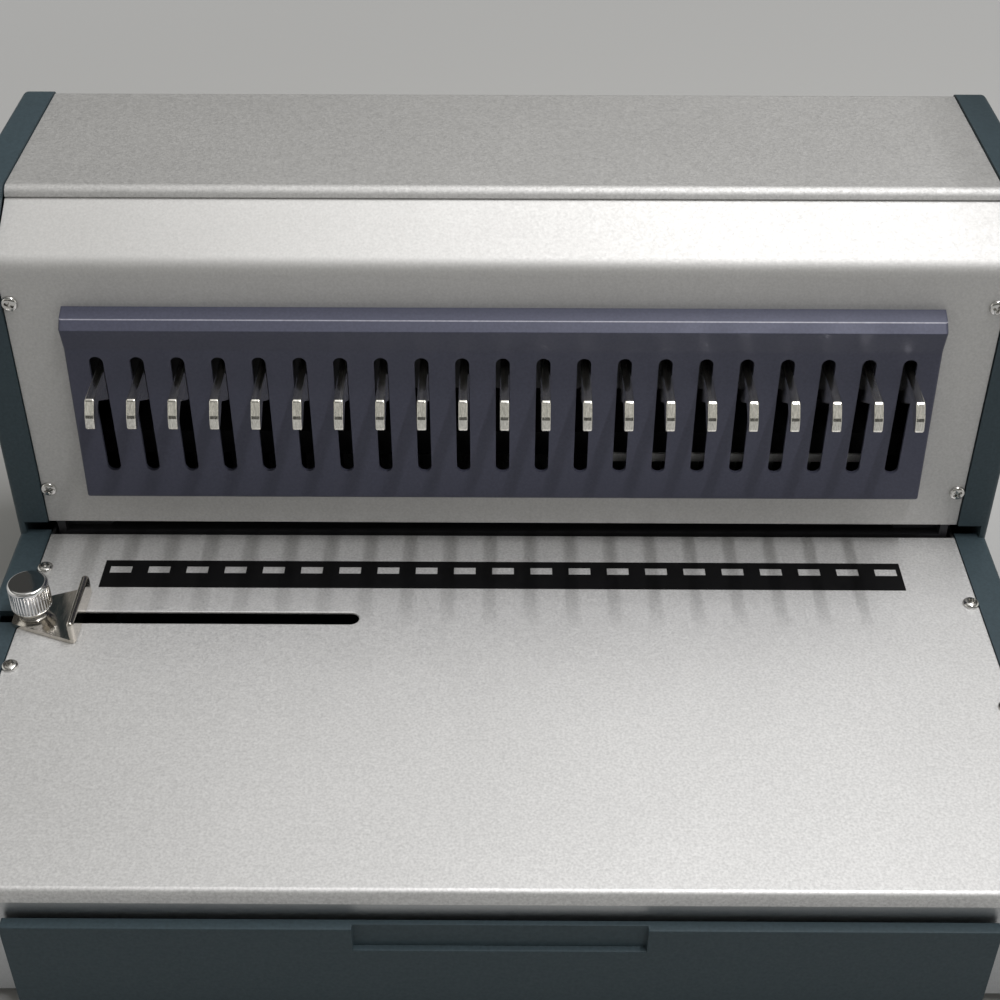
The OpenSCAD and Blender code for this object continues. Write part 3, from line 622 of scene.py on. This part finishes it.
def front_shell():
    """The bent front sheet: upright panel, soft bend and sloped band, with the hooks' window."""
    window_margin = 5.0
    window_half = ROW_HALF + window_margin
    window_low, window_high = 29.4, 89.0
    tangent = BEND_R * math.tan(math.radians(90 - BAND_ANGLE) / 2)
    end_y = BAND_RUN + BAND_TUCK
    end_z = PANEL_H + end_y * BAND_RISE / BAND_RUN
    path = [(0.0, THROAT_H)]
    path += arc((BEND_R, PANEL_H - tangent), BEND_R, 180, 90 + BAND_ANGLE, 24)
    path.append((end_y, end_z))
    shell = prism("front_shell", sheet_outline(path, -SHEET), -COVER_HALF, COVER_HALF, SILVER)
    outline = rectangle((-window_half, window_half), (window_low, window_high))
    carve(shell, [prism("window", outline, -CUT_PAST, SHEET + CUT_PAST, None, along_y)])
    soften(shell, SMALL_EDGE)
    finish_piece(shell, "base", ["front_housing"])


def window_bar():
    """A strip behind the window, on legs fixed to the back of the front sheet between the slots."""
    low, high, foot = 34.2, 37.6, 26.0
    leg = 1.5
    thickness = 1.0
    first, last = 13, 20
    middles = [row_x(i - 0.5) for i in range(first, last + 1)]
    outline = []
    for x in middles:
        outline += [(x - leg, low), (x - leg, foot), (x + leg, foot), (x + leg, low)]
    outline += [(middles[-1] + leg, high), (middles[0] - leg, high)]
    # The bar takes the lighter silver copy: painted light on the patches seen through the slots.
    bar = prism("window_bar", outline, SHEET, SHEET + thickness, SILVER_TABLE_LIT, along_y)
    finish_piece(bar, "base")


def top_shell():
    """The top and back cover with its rolled front lip."""
    low, high = machine_box("top_cover")
    lip_forward = 1.2
    lip_y = low.y - lip_forward
    lip_r = 4.0
    lip_tilt = 30.0
    lip_gap = 0.12
    back_r = 4.0
    steps = 10
    lip_low = PANEL_H + (lip_y + SHEET) * BAND_RISE / BAND_RUN + lip_gap
    bend = arc((0, high.z - lip_r), lip_r, 180 - lip_tilt, 90, steps)
    slant = (bend[0][1] - lip_low) * math.tan(math.radians(lip_tilt))
    path = [(lip_y, lip_low)] + [(lip_y + slant - bend[0][0] + y, z) for y, z in bend]
    path += arc((high.y - back_r, high.z - back_r), back_r, 90, 0, steps)
    path.append((high.y, low.z))
    # The top cover takes the darker silver copy: painted shade.
    shell = prism("top_shell", sheet_outline(path, -SHEET), -COVER_HALF, COVER_HALF, SILVER_TOP_SHADED)
    soften(shell, SMALL_EDGE)
    finish_piece(shell, "base", ["top_cover"])


GUIDE_Y = -48.8
GUIDE_SLOT_W = 6.2
GUIDE_SLOT_END = -51.5


def table_sheet():
    """The table with its guide slot and its front edge bent down."""
    low, _ = machine_box("table_plate")
    edge_r = 2.0
    back = -0.7
    mouth = -COVER_HALF - CUT_PAST
    path = [(back, 0.0)]
    path += arc((low.y + edge_r, -edge_r), edge_r, 90, 180, 8)
    path.append((low.y, low.z))
    # The table takes the lighter silver copy: painted light.
    sheet = prism("table_sheet", sheet_outline(path, SHEET), -COVER_HALF, COVER_HALF, SILVER_TABLE_LIT)
    r = GUIDE_SLOT_W / 2
    outline = arc((GUIDE_SLOT_END - r, GUIDE_Y), r, -90, 90, 16)
    outline += [(mouth, GUIDE_Y + r), (mouth, GUIDE_Y - r)]
    carve(sheet, [prism("slot", outline, -SHEET - CUT_PAST, CUT_PAST, None, along_z)])
    soften(sheet, 0.5, segments=3)
    finish_piece(sheet, "base", ["table_plate"])


front_shell()
window_bar()
top_shell()
table_sheet()


# Comb plate: a pressed tray with a lip, closed ends and one slot for each hook

COMB_OUT = 6.3
COMB_LOW = 21.8
COMB_HIGH = 100.5
COMB_KINK = 86.7
COMB_FLARE = 1.5
COMB_SHEET = 1.5
SLOT_W = 5.0
SLOT_LOW = 34.4
SLOT_HIGH = 83.8


def comb_tray():
    """The tray's outside, drawn across the machine with round ends, then given its wall and its slots."""
    low, high = machine_box("comb_plate")
    half = (high.x - low.x) / 2
    end_r = 1.1
    end_steps = 4
    bend_steps = 5
    path = rounded([
        (0.0, COMB_HIGH, 0), (-COMB_OUT + 0.6, COMB_HIGH - 1.9, 1.3), (-COMB_OUT - 2.6, COMB_HIGH - 4.6, 0.4),
        (-COMB_OUT, COMB_KINK, 8.0), (-COMB_OUT, COMB_LOW, 1.5), (0.0, COMB_LOW, 0),
    ], bend_steps, closed=False)
    fold = range(1, bend_steps + 1)
    stations = []
    for s in range(end_steps + 1):
        angle = math.pi / 2 * (1 - s / end_steps)
        stations.append((half - end_r + end_r * math.sin(angle), end_r * (1 - math.cos(angle)) / COMB_OUT))
    stations += [(-x, shrink) for x, shrink in reversed(stations)]
    points = []
    for x, shrink in stations:
        for y, z in path:
            flare = COMB_FLARE * max(0.0, COMB_KINK - z) / (COMB_KINK - COMB_LOW)
            points.append((x + math.copysign(flare, x), y * (1 - shrink), z))
    count = len(path)
    faces = []
    for k in range(len(stations) - 1):
        for i in range(count - 1):
            a = k * count + i
            faces.append((a, a + 1, a + count + 1, a + count))
    faces.append(tuple(range(count)))
    faces.append(tuple(range((len(stations) - 1) * count, len(stations) * count)))
    tray = solid("comb_tray", points, faces, SLATE)
    # The fold's faces take the lighter slate: a painted highlight along the lip's fold.
    tray.data.materials.append(SLATE_FOLD_HIGHLIGHT)
    for k in range(len(stations) - 1):
        for i in fold:
            tray.data.polygons[k * (count - 1) + i].material_index = 1
    wall = tray.modifiers.new("wall", "SOLIDIFY")
    wall.thickness = COMB_SHEET * MM
    wall.offset = -1
    final_mesh(tray)
    slots = [stadium(row_x(i), SLOT_LOW, SLOT_HIGH, SLOT_W, 14) for i in range(HOLE_COUNT)]
    carve(tray, [prisms("slots", slots, -COMB_OUT - CUT_PAST, CUT_PAST, None, along_y)])
    soften(tray, 0.18, angle=50)
    finish_piece(tray, "base", ["comb_plate"])


comb_tray()


# Comb hooks: thick plates whose edges are tumbled round

HOOK_T = 3.3
HOOK_OFF = 0.7
HOOK_TOP = 77.8
HOOK_H = 12.0
HOOK_OUT = 28.8
HOOK_ROOT = 10.0
HOOK_EDGE_R = 0.5


def hook_outline():
    """The hook from the side: a straight arm whose nose leans forward and turns down. Each corner of the nose
    is given by how far it lies behind the tip and below the top, and by its radius."""
    under = HOOK_TOP - HOOK_H
    nose = (
        (4.6, 0, 1.5), (1.5, 4.5, 1.2), (1.05, 5.5, 1.2), (0, 9.8, 1.1), (2.6, 9.9, 0.9), (10.1, 4.3, 1.0),
    )
    corners = [(HOOK_ROOT, HOOK_TOP, 0)]
    corners += [(behind - HOOK_OUT, HOOK_TOP - below, radius) for behind, below, radius in nose]
    corners += [(-COMB_OUT, under, 0.8), (HOOK_ROOT, under, 0)]
    return rounded(corners, 5)


def comb_hooks():
    """One hook for each slot, in place of its node."""
    outline = hook_outline()
    for i in range(HOLE_COUNT):
        x = row_x(i) + HOOK_OFF
        node = f"comb_hook_{i + 1:02d}"
        outlines, levels = tumbled(outline, x - HOOK_T / 2, x + HOOK_T / 2, HOOK_EDGE_R)
        hook = shade(loft(f"hook_{i + 1:02d}", outlines, levels, HOOK_STEEL), 180)
        hook.modifiers.new("normals", "WEIGHTED_NORMAL")
        finish_piece(hook, "hook_carriage", [node])


comb_hooks()


# Printed strip: black film with one clear window for each hole

def plate_with_windows(name, xs, ys, windows, z, material):
    """A flat plate on a grid of x and y lines, open at the (column, row) cells in windows."""
    columns, rows = len(xs) - 1, len(ys) - 1
    points = [(x, y, level) for level in z for y in ys for x in xs]
    across = len(xs)
    layer = across * len(ys)

    def filled(i, j):
        return 0 <= i < columns and 0 <= j < rows and (i, j) not in windows

    faces = []
    for i in range(columns):
        for j in range(rows):
            if not filled(i, j):
                continue
            a = j * across + i
            ring = (a, a + 1, a + across + 1, a + across)
            faces.append(ring)
            faces.append(tuple(p + layer for p in ring))
            for (p, q), (di, dj) in zip(
                ((a, a + 1), (a + 1, a + across + 1), (a + across + 1, a + across), (a + across, a)),
                ((0, -1), (1, 0), (0, 1), (-1, 0)),
            ):
                if not filled(i + di, j + dj):
                    faces.append((p, q, q + layer, p + layer))
    return solid(name, points, faces, material)


def printed_film():
    """The film on the table, with its row of windows."""
    low, high = machine_box("printed_strip")
    window_w = 8.1
    window_off = 0.35
    window_y = (-24.0, -20.2)
    xs = [low.x]
    windows = set()
    for i in range(HOLE_COUNT):
        x = row_x(i) + window_off
        windows.add((len(xs), 1))
        xs += [x - window_w / 2, x + window_w / 2]
    xs.append(high.x)
    ys = [low.y, window_y[0], window_y[1], high.y]
    film = plate_with_windows("printed_film", xs, ys, windows, (low.z, high.z), PRINT)
    finish_piece(film, "base", ["printed_strip"])


printed_film()


# Edge guide with its thumb nut

GUIDE_LIFT = 0.1
GUIDE_SHEET = 1.6
NUT_X = -168.5
NUT_D = 14.5
NUT_H = 14.6


def outline_at(outline, floor):
    """An outline whose lowest points are set on a floor level."""
    lowest = min(v for _, v in outline)
    near = 0.3
    return [(u, floor if v < lowest + near else v) for u, v in outline]


def edge_guide():
    """A pointed plate with a key in the table's slot, and an upright fence along its right edge."""
    low, high = machine_box("edge_guide")
    z0 = GUIDE_LIFT
    overlap = 0.4
    shoulder = high.x - GUIDE_SHEET - 0.5
    apex_w, apex_r = 11.0, 2.0
    corner_r = 0.5
    outline = rounded([
        (high.x - overlap, low.y, corner_r), (high.x - overlap, high.y, corner_r),
        (shoulder, high.y, corner_r), (low.x, GUIDE_Y + apex_w / 2, apex_r),
        (low.x, GUIDE_Y - apex_w / 2, apex_r), (shoulder, low.y, corner_r),
    ], 5)
    plate = prism("guide_plate", outline, z0, z0 + GUIDE_SHEET, NICKEL, along_z)
    key_l, key_w = 14.0, GUIDE_SLOT_W - 0.6
    key = box("key", (NUT_X - key_l / 2, NUT_X + key_l / 2), (GUIDE_Y - key_w / 2, GUIDE_Y + key_w / 2),
              (low.z, z0 + overlap), NICKEL)
    fence_t, fence_edge_r = 2.5, 1.15
    foot = z0 + 0.3
    side = rounded([
        (low.y, foot, 0), (high.y, foot, 0), (high.y, high.z, 2.7), (low.y, high.z, 1.3),
    ], 8)
    outlines, levels = tumbled(side, high.x - fence_t, high.x, fence_edge_r, 6)
    fence = loft("fence", [outline_at(o, foot) for o in outlines], levels, NICKEL)
    for other in (key, fence):
        change = plate.modifiers.new("weld_on", "BOOLEAN")
        change.operation = "UNION"
        change.solver = "EXACT"
        change.object = other
    final_mesh(plate)
    drop(key)
    drop(fence)
    plate.name = "guide_fence"
    soften(plate, 0.75, segments=4, angle=50)
    # The rounded edges take the paler nickel: a painted highlight on the plate's rims.
    plate.data.materials.append(NICKEL_EDGE_HIGHLIGHT)
    plate.modifiers["bevel"].material = 1
    finish_piece(plate, "guide", ["edge_guide"])


def thumb_nut():
    """A chromed nut: tapered foot, fluted grip, smooth rolled top edge."""
    r = NUT_D / 2
    foot_r = 5.4
    flute_low, flute_high = 4.8, NUT_H - 1.6
    flute_count = 36
    flute_depth = 0.55
    rings = [(foot_r - 0.4, 0.0), (foot_r - 0.1, 0.1), (foot_r, 0.35), (foot_r, 0.8), (foot_r + 0.1, 1.1)]
    rings += [(foot_r + (r - 0.3 - foot_r) * s / 4, 1.3 + 0.7 * s) for s in range(1, 5)]
    rings += [(r - 0.1, 4.4), (r, flute_low), (r, flute_low + 0.1), (r, flute_high - 0.1), (r, flute_high)]
    top = ((0.02, 1.2), (0.1, 0.8), (0.3, 0.45), (0.6, 0.18), (0.9, 0.04), (1.2, 0), (3.0, 0))
    rings += [(r - inwards, NUT_H - below) for inwards, below in top] + [(0.6, NUT_H)]

    def flutes(angle, radius, height):
        if flute_low < height < flute_high:
            wave = abs(math.cos(angle * flute_count / 2))
            return radius - flute_depth * (1 - wave ** 0.7)
        return radius

    nut = lathe("knurled_nut", rings, CHROME, flute_count * 8, flutes)
    low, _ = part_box("thumb_nut")
    seat = at(NUT_X, GUIDE_Y, 0)
    move(nut, Matrix.Translation((seat.x, seat.y, low.z)))
    shade(nut, 50)
    finish_piece(nut, "nut", ["thumb_nut"])


edge_guide()
thumb_nut()


# Screws: pan heads with a cross recess

HEAD_R = 2.95
HEAD_H = 1.6
SCREW_X = SIDE_IN - 3
PANEL_SCREW_Z = (21.2, 101.5)
REAR_SCREW_Z = (30, 110)
LEFT_SCREW_Y = (-21.5, -74.8)
RIGHT_SCREW_Y = (-39.5, -92.8)
BACK_Y = machine_box("top_cover")[1].y


def screw_head(name, turn):
    """A head with its seat at the origin, pointing up; turn is the recess's angle in degrees."""
    rings = [(HEAD_R - 0.15, 0.0), (HEAD_R, 0.15), (HEAD_R, 0.5), (HEAD_R - 0.1, 0.8), (HEAD_R - 0.35, 1.1)]
    rings += [(HEAD_R - 0.75, 1.35), (HEAD_R - 1.3, 1.5), (HEAD_R - 2.0, 1.57), (0.3, HEAD_H)]
    head = lathe(name, rings, ZINC, 40)
    wing, width, depth, above = 2.0, 0.55, 1.25, 0.4
    foot_share = 0.55
    corners = []
    for quarter in range(4):
        spin = Matrix.Rotation(math.radians(90 * quarter + turn), 2)
        for u, v in ((wing, -width), (wing, width), (width, width)):
            corners.append(spin @ Vector((u, v)))
    points = [Vector((c.x, c.y, HEAD_H + above)) * MM for c in corners]
    points += [Vector((c.x * foot_share, c.y * foot_share, HEAD_H - depth)) * MM for c in corners]
    count = len(corners)
    faces = [tuple(range(count)), tuple(reversed(range(count, 2 * count)))]
    faces += [(i, count + i, count + (i + 1) % count, (i + 1) % count) for i in range(count)]
    carve(head, [closed_mesh("recess", points, faces, ZINC)])
    return shade(head)


def screws(name, node, places, facing):
    """One piece from several heads; places are their seats, facing turns up into their direction."""
    heads = []
    first_turn, more_turn = 17, 53
    for i, place in enumerate(places):
        head = screw_head(f"{name}_{i}", first_turn + more_turn * i)
        heads.append(move(head, Matrix.Translation(at(*place)) @ facing))
    piece = join(name, heads)
    finish_piece(piece, "base", [node])


screws("front_screw_heads", "panel_screws",
       [(x, 0, z) for x in (-SCREW_X, SCREW_X) for z in PANEL_SCREW_Z],
       Matrix.Rotation(math.radians(90), 4, "X"))
screws("table_screw_heads", "table_screws",
       [(-SCREW_X, y, 0) for y in LEFT_SCREW_Y] + [(SCREW_X, y, 0) for y in RIGHT_SCREW_Y],
       Matrix.Identity(4))
screws("rear_screw_heads", "rear_screws",
       [(x, BACK_Y, z) for x in (-SCREW_X, SCREW_X) for z in REAR_SCREW_Z],
       Matrix.Rotation(math.radians(-90), 4, "X"))


# Side panels: moulded shells with rounded outer edges and the throat's slit

SIDE_LOW, SIDE_HIGH = machine_box("left_side_panel")
SIDE_OUT = -SIDE_LOW.x
SIDE_WALL = 2.5
SIDE_EDGE_R = 2.2
SIDE_PROUD = 0.8
SLIT_D = 9.0
SLIT_FRONT = -4.0
SLIT_BACK = 30.0
NOTCH_D = 8.0
NOTCH_H = 4.0
PAD_OUT = machine_box("right_side_panel")[1].x
PAD_Y = (6.0, 96.0)
PAD_Z = (13.0, 118.0)
PAD_CORNER = 14.0
PAD_R = 6.0
PAD_EDGE_R = 2.0


def side_outline(depth=0):
    """The panel's section from the side, drawn in by a depth."""
    front, back = SIDE_LOW.y, SIDE_HIGH.y
    low, top = SIDE_LOW.z, SIDE_HIGH.z
    outline = rounded([
        (front, low, 4.0), (back, low, 4.0), (back, top, 5.0), (BAND_RUN, top, 8.0),
        (-SIDE_PROUD, PANEL_H + SIDE_PROUD, 8.0), (-SIDE_PROUD, 0.0, 0.0), (front, 0.0, 4.0),
    ], 6)
    return inset(outline, depth) if depth else outline


def side_panel(name, side):
    """side is -1 for the left panel and 1 for the right one, which also has the lever's pad."""
    past = 1.0
    outlines, levels = round_over(side_outline(), SIDE_IN, SIDE_OUT, SIDE_EDGE_R)
    panel = loft(name, outlines, [side * x for x in levels], PLASTIC)
    ends = sorted((side * (SIDE_IN - past), side * (SIDE_OUT - SIDE_WALL)))
    pocket = prism("pocket", side_outline(SIDE_WALL), ends[0], ends[1], PLASTIC)
    slit_ends = sorted((side * (SIDE_IN - past), side * (SIDE_IN + SLIT_D)))
    cutters = [pocket, box("slit", slit_ends, (SLIT_FRONT, SLIT_BACK), (0, THROAT_H), PLASTIC)]
    if side < 0:
        notch_y = (GUIDE_Y - GUIDE_SLOT_W / 2, GUIDE_Y + GUIDE_SLOT_W / 2)
        cutters.append(box("notch", (-SIDE_IN - NOTCH_D, past - SIDE_IN), notch_y, (-NOTCH_H, past), PLASTIC))
    carve(panel, cutters)
    parts = [panel]
    if side > 0:
        sunk = 0.2
        (front, back), (low, top), cut = PAD_Y, PAD_Z, PAD_CORNER
        corners = (
            (front + cut, low), (back - cut, low), (back, low + cut), (back, top - cut),
            (back - cut, top), (front + cut, top), (front, top - cut), (front, low + cut),
        )
        pad = rounded([(y, z, PAD_R) for y, z in corners], 5)
        outlines, levels = round_over(pad, SIDE_OUT - sunk, PAD_OUT, PAD_EDGE_R)
        parts.append(loft("pad", outlines, levels, PLASTIC))
    for part in parts:
        shade(part, 30)
    whole = join(name + "_shell", parts)
    finish_piece(whole, "base", [name])


side_panel("left_side_panel", -1)
side_panel("right_side_panel", 1)


# Lever grip: a moulded handle with finger rings, on the leaning lever

PIVOT_Y = 46.0
PIVOT_Z = 62.0
LEVER_LEAN = 8.0
LEVER_D = 12.0
GRIP_L = 112.0
GRIP_TAPER = 3.0


def lever_grip():
    """The grip turned about the lever's axis, then leaned back with the lever about its pivot."""
    low, high = machine_box("lever_grip")
    r = (high.x - low.x) / 2
    lean = math.radians(LEVER_LEAN)
    crown, crown_rise = 7.0, 0.6
    collar, first_ring = 8.0, 12.0
    end = (high.z - PIVOT_Z - r * math.sin(lean)) / math.cos(lean) + crown_rise
    start = end - GRIP_L
    neck = LEVER_D / 2 + 3
    ring_gap, ring_depth = 9.0, 0.9
    ring = ((0, 0), (5.4, 0), (6.2, 0.7), (7.2, 1), (8.2, 0.7))
    taper_from, taper_to = start + collar, end - crown
    rings = [(LEVER_D / 2 + 0.3, start + 0.6), (neck - 0.8, start), (neck, start + 0.8)]
    rings.append((r - GRIP_TAPER, taper_from))
    height = start + first_ring
    while height < taper_to - ring_gap:
        share = (height - taper_from) / (taper_to - taper_from)
        body_r = r - GRIP_TAPER + GRIP_TAPER * share
        rings += [(body_r - ring_depth * dip, height + rise) for rise, dip in ring]
        height += ring_gap
    rings.append((r, taper_to))
    rings += [(r - crown + u, v) for u, v in arc((0, end - crown), crown, 0, 86, 10)][1:]
    rings.append((0.4, end))
    grip = lathe("grip_handle", rings, GRIP, 72)
    pivot = at((low.x + high.x) / 2, PIVOT_Y, PIVOT_Z)
    move(grip, Matrix.Translation(pivot) @ Matrix.Rotation(-lean, 4, "X"))
    shade(grip, 55)
    finish_piece(grip, "lever", ["lever_grip"])


lever_grip()


# Return springs: round wire on a helix


def coil_springs():
    """Both springs in one piece."""
    low, high = machine_box("return_springs")
    wire = 1.4
    radius = (high.y - low.y - wire) / 2
    middle = Vector(((low.x + high.x) / 2, (low.y + high.y) / 2))
    reach = high.x - radius - wire / 2 - middle.x
    turns, per_turn, sides = 5, 40, 12
    steps = turns * per_turn
    points = []
    faces = []
    for side in (-1, 1):
        first = len(points)
        for i in range(steps + 1):
            turn = 2 * math.pi * turns * i / steps
            height = low.z + wire / 2 + (high.z - low.z - wire) * i / steps
            for k in range(sides):
                tilt = 2 * math.pi * k / sides
                r = radius + wire / 2 * math.cos(tilt)
                points.append((middle.x + side * (reach + r * math.cos(turn)), middle.y + r * math.sin(turn),
                               height + wire / 2 * math.sin(tilt)))
        for i in range(steps):
            for k in range(sides):
                a, b = first + i * sides + k, first + i * sides + (k + 1) % sides
                faces.append((a, b, b + sides, a + sides))
        faces.append(tuple(range(first, first + sides)))
        faces.append(tuple(range(first + steps * sides, first + (steps + 1) * sides)))
    springs = solid("coil_springs", points, faces, TOOL_STEEL)
    shade(springs, 60)
    finish_piece(springs, "base", ["return_springs"])
    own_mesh(springs)


coil_springs()

# The carried-over nodes get soft edges
for name, width in (("chip_drawer", 0.9), ("rubber_feet", 0.8), ("base_pan", 0.3), ("lever_arm", 0.8)):
    soften(frame["nodes"][name], width, segments=3)


# Floor, light and camera

def stage_floor():
    """A wide pale floor that keeps the machine's shadow near it and turns plain further out."""
    mesh = bpy.data.meshes.new("floor")
    span = (-60.0, 60.0)
    near, far = 0.45, 1.3
    lit, seen_colour, far_colour = (0.40, 0.40, 0.395), (0.52, 0.52, 0.515), (0.48, 0.48, 0.475, 1.0)
    mesh.from_pydata([(x, y, 0) for x, y in rectangle(span, span)], [], [(0, 1, 2, 3)])
    material, tree, shader = new_material("floor", roughness=0.7, specular=0.2)
    path = tree.nodes.new("ShaderNodeLightPath")
    seen = path.outputs["Is Camera Ray"]
    for ray in ("Is Glossy Ray", "Is Transmission Ray"):
        seen = combined(tree, "MAXIMUM", seen, path.outputs[ray])
    tree.links.new(ramp(tree, seen, [(0.0, lit), (1.0, seen_colour)]), shader.inputs["Base Color"])
    place = tree.nodes.new("ShaderNodeTexCoord")
    length = tree.nodes.new("ShaderNodeVectorMath")
    length.operation = "LENGTH"
    tree.links.new(place.outputs["Object"], length.inputs[0])
    away = combined(tree, "MULTIPLY", between(tree, length.outputs["Value"], 0.0, 1.0, near, far), seen)
    plain = tree.nodes.new("ShaderNodeEmission")
    plain.inputs["Color"].default_value = far_colour
    mix = tree.nodes.new("ShaderNodeMixShader")
    tree.links.new(away, mix.inputs["Fac"])
    tree.links.new(shader.outputs["BSDF"], mix.inputs[1])
    tree.links.new(plain.outputs["Emission"], mix.inputs[2])
    tree.links.new(mix.outputs["Shader"], tree.nodes["Material Output"].inputs["Surface"])
    add_object("floor", mesh, material)


LIT_SPOT = (0, -20, 0)


def lamp(name, place, size, power, colour):
    """An area lamp whose first side runs across the machine and whose second side runs front to back."""
    data = bpy.data.lights.new(name, "AREA")
    data.shape = "RECTANGLE"
    data.size, data.size_y = size
    data.energy = power
    data.color = colour
    obj = bpy.data.objects.new(name, data)
    bpy.context.scene.collection.objects.link(obj)
    back = (at(*place) - at(*LIT_SPOT)).normalized()
    across = Vector((0, 1, 0)).cross(back).normalized()
    along = back.cross(across)
    turn = Matrix((across, along, back)).transposed().to_4x4()
    obj.matrix_world = Matrix.Translation(at(*place)) @ turn


def surroundings(front, back, side, tint):
    """A plain studio: brightness by height, from (height, level) stops before, behind and beside the machine;
    height is -1 below and 1 above."""
    world = bpy.data.worlds.new("studio")
    bpy.context.scene.world = world
    world.use_nodes = True
    tree = world.node_tree
    background = tree.nodes["Background"]
    place = tree.nodes.new("ShaderNodeTexCoord")
    parts = tree.nodes.new("ShaderNodeSeparateXYZ")
    tree.links.new(place.outputs["Generated"], parts.inputs["Vector"])
    height = between(tree, parts.outputs["Z"], 0.0, 1.0, -1.0, 1.0)

    def by_height(levels):
        return ramp(tree, height, [((h + 1) / 2, tuple(level * t for t in tint)) for h, level in levels])

    def mixed(factor, first, second):
        node = tree.nodes.new("ShaderNodeMix")
        node.data_type = "RGBA"
        tree.links.new(factor, node.inputs["Factor"])
        tree.links.new(first, node.inputs["A"])
        tree.links.new(second, node.inputs["B"])
        return node.outputs["Result"]

    depth = between(tree, parts.outputs["Y"], 0.0, 1.0, -0.25, 0.25)
    aside = between(tree, combined(tree, "ABSOLUTE", parts.outputs["X"]), 0.0, 1.0, 0.7, 0.92)
    colours = mixed(aside, mixed(depth, by_height(front), by_height(back)), by_height(side))
    tree.links.new(colours, background.inputs["Color"])


def photo_camera():
    """The photograph's view: its place, how far it looks down and to the side, its roll and its lens."""
    place = at(1.10, -481.26, 385.04)
    pitch = math.radians(37.4345)
    yaw = math.radians(-0.2422)
    roll = math.radians(0.0973)
    forward = Vector((math.sin(yaw) * math.cos(pitch), math.cos(yaw) * math.cos(pitch), -math.sin(pitch)))
    level = Vector((math.cos(yaw), -math.sin(yaw), 0))
    upright = level.cross(forward)
    right = level * math.cos(roll) + upright * math.sin(roll)
    up = upright * math.cos(roll) - level * math.sin(roll)
    data = bpy.data.cameras.new("photo_camera")
    data.lens = 57.645
    data.sensor_width = 36.0
    data.clip_start = 0.01
    camera = bpy.data.objects.new("photo_camera", data)
    bpy.context.scene.collection.objects.link(camera)
    turn = Matrix((right, up, -forward)).transposed().to_4x4()
    camera.matrix_world = Matrix.Translation(place) @ turn
    bpy.context.scene.camera = camera


bpy.context.scene.view_settings.view_transform = "Standard"
stage_floor()
lamp("strip_lamp", (340, -150, 1300), (0.022, 1.2), 12.2, (1.0, 0.995, 1.0))
lamp("soft_lamp", (150, 250, 1450), (1.2, 1.2), 3.2, (1.0, 0.995, 0.985))
surroundings(
    front=[(-1, 0.3), (-0.02, 0.40), (0.04, 0.40), (0.09, 0.05), (0.42, 0.04), (0.48, 0.58), (0.58, 0.58),
           (0.65, 0.06), (0.8, 0.12), (1, 0.34)],
    back=[(-1, 0.3), (-0.02, 0.48), (0.05, 0.48), (0.12, 0.05), (0.69, 0.05), (0.8, 0.5), (0.95, 0.5),
          (1, 0.36)],
    side=[(-1, 0.3), (-0.02, 0.5), (0.1, 0.5), (0.2, 0.9), (0.42, 0.9), (0.55, 0.2), (0.82, 0.22), (1, 0.34)],
    tint=(1.0, 0.985, 0.92),
)
photo_camera()
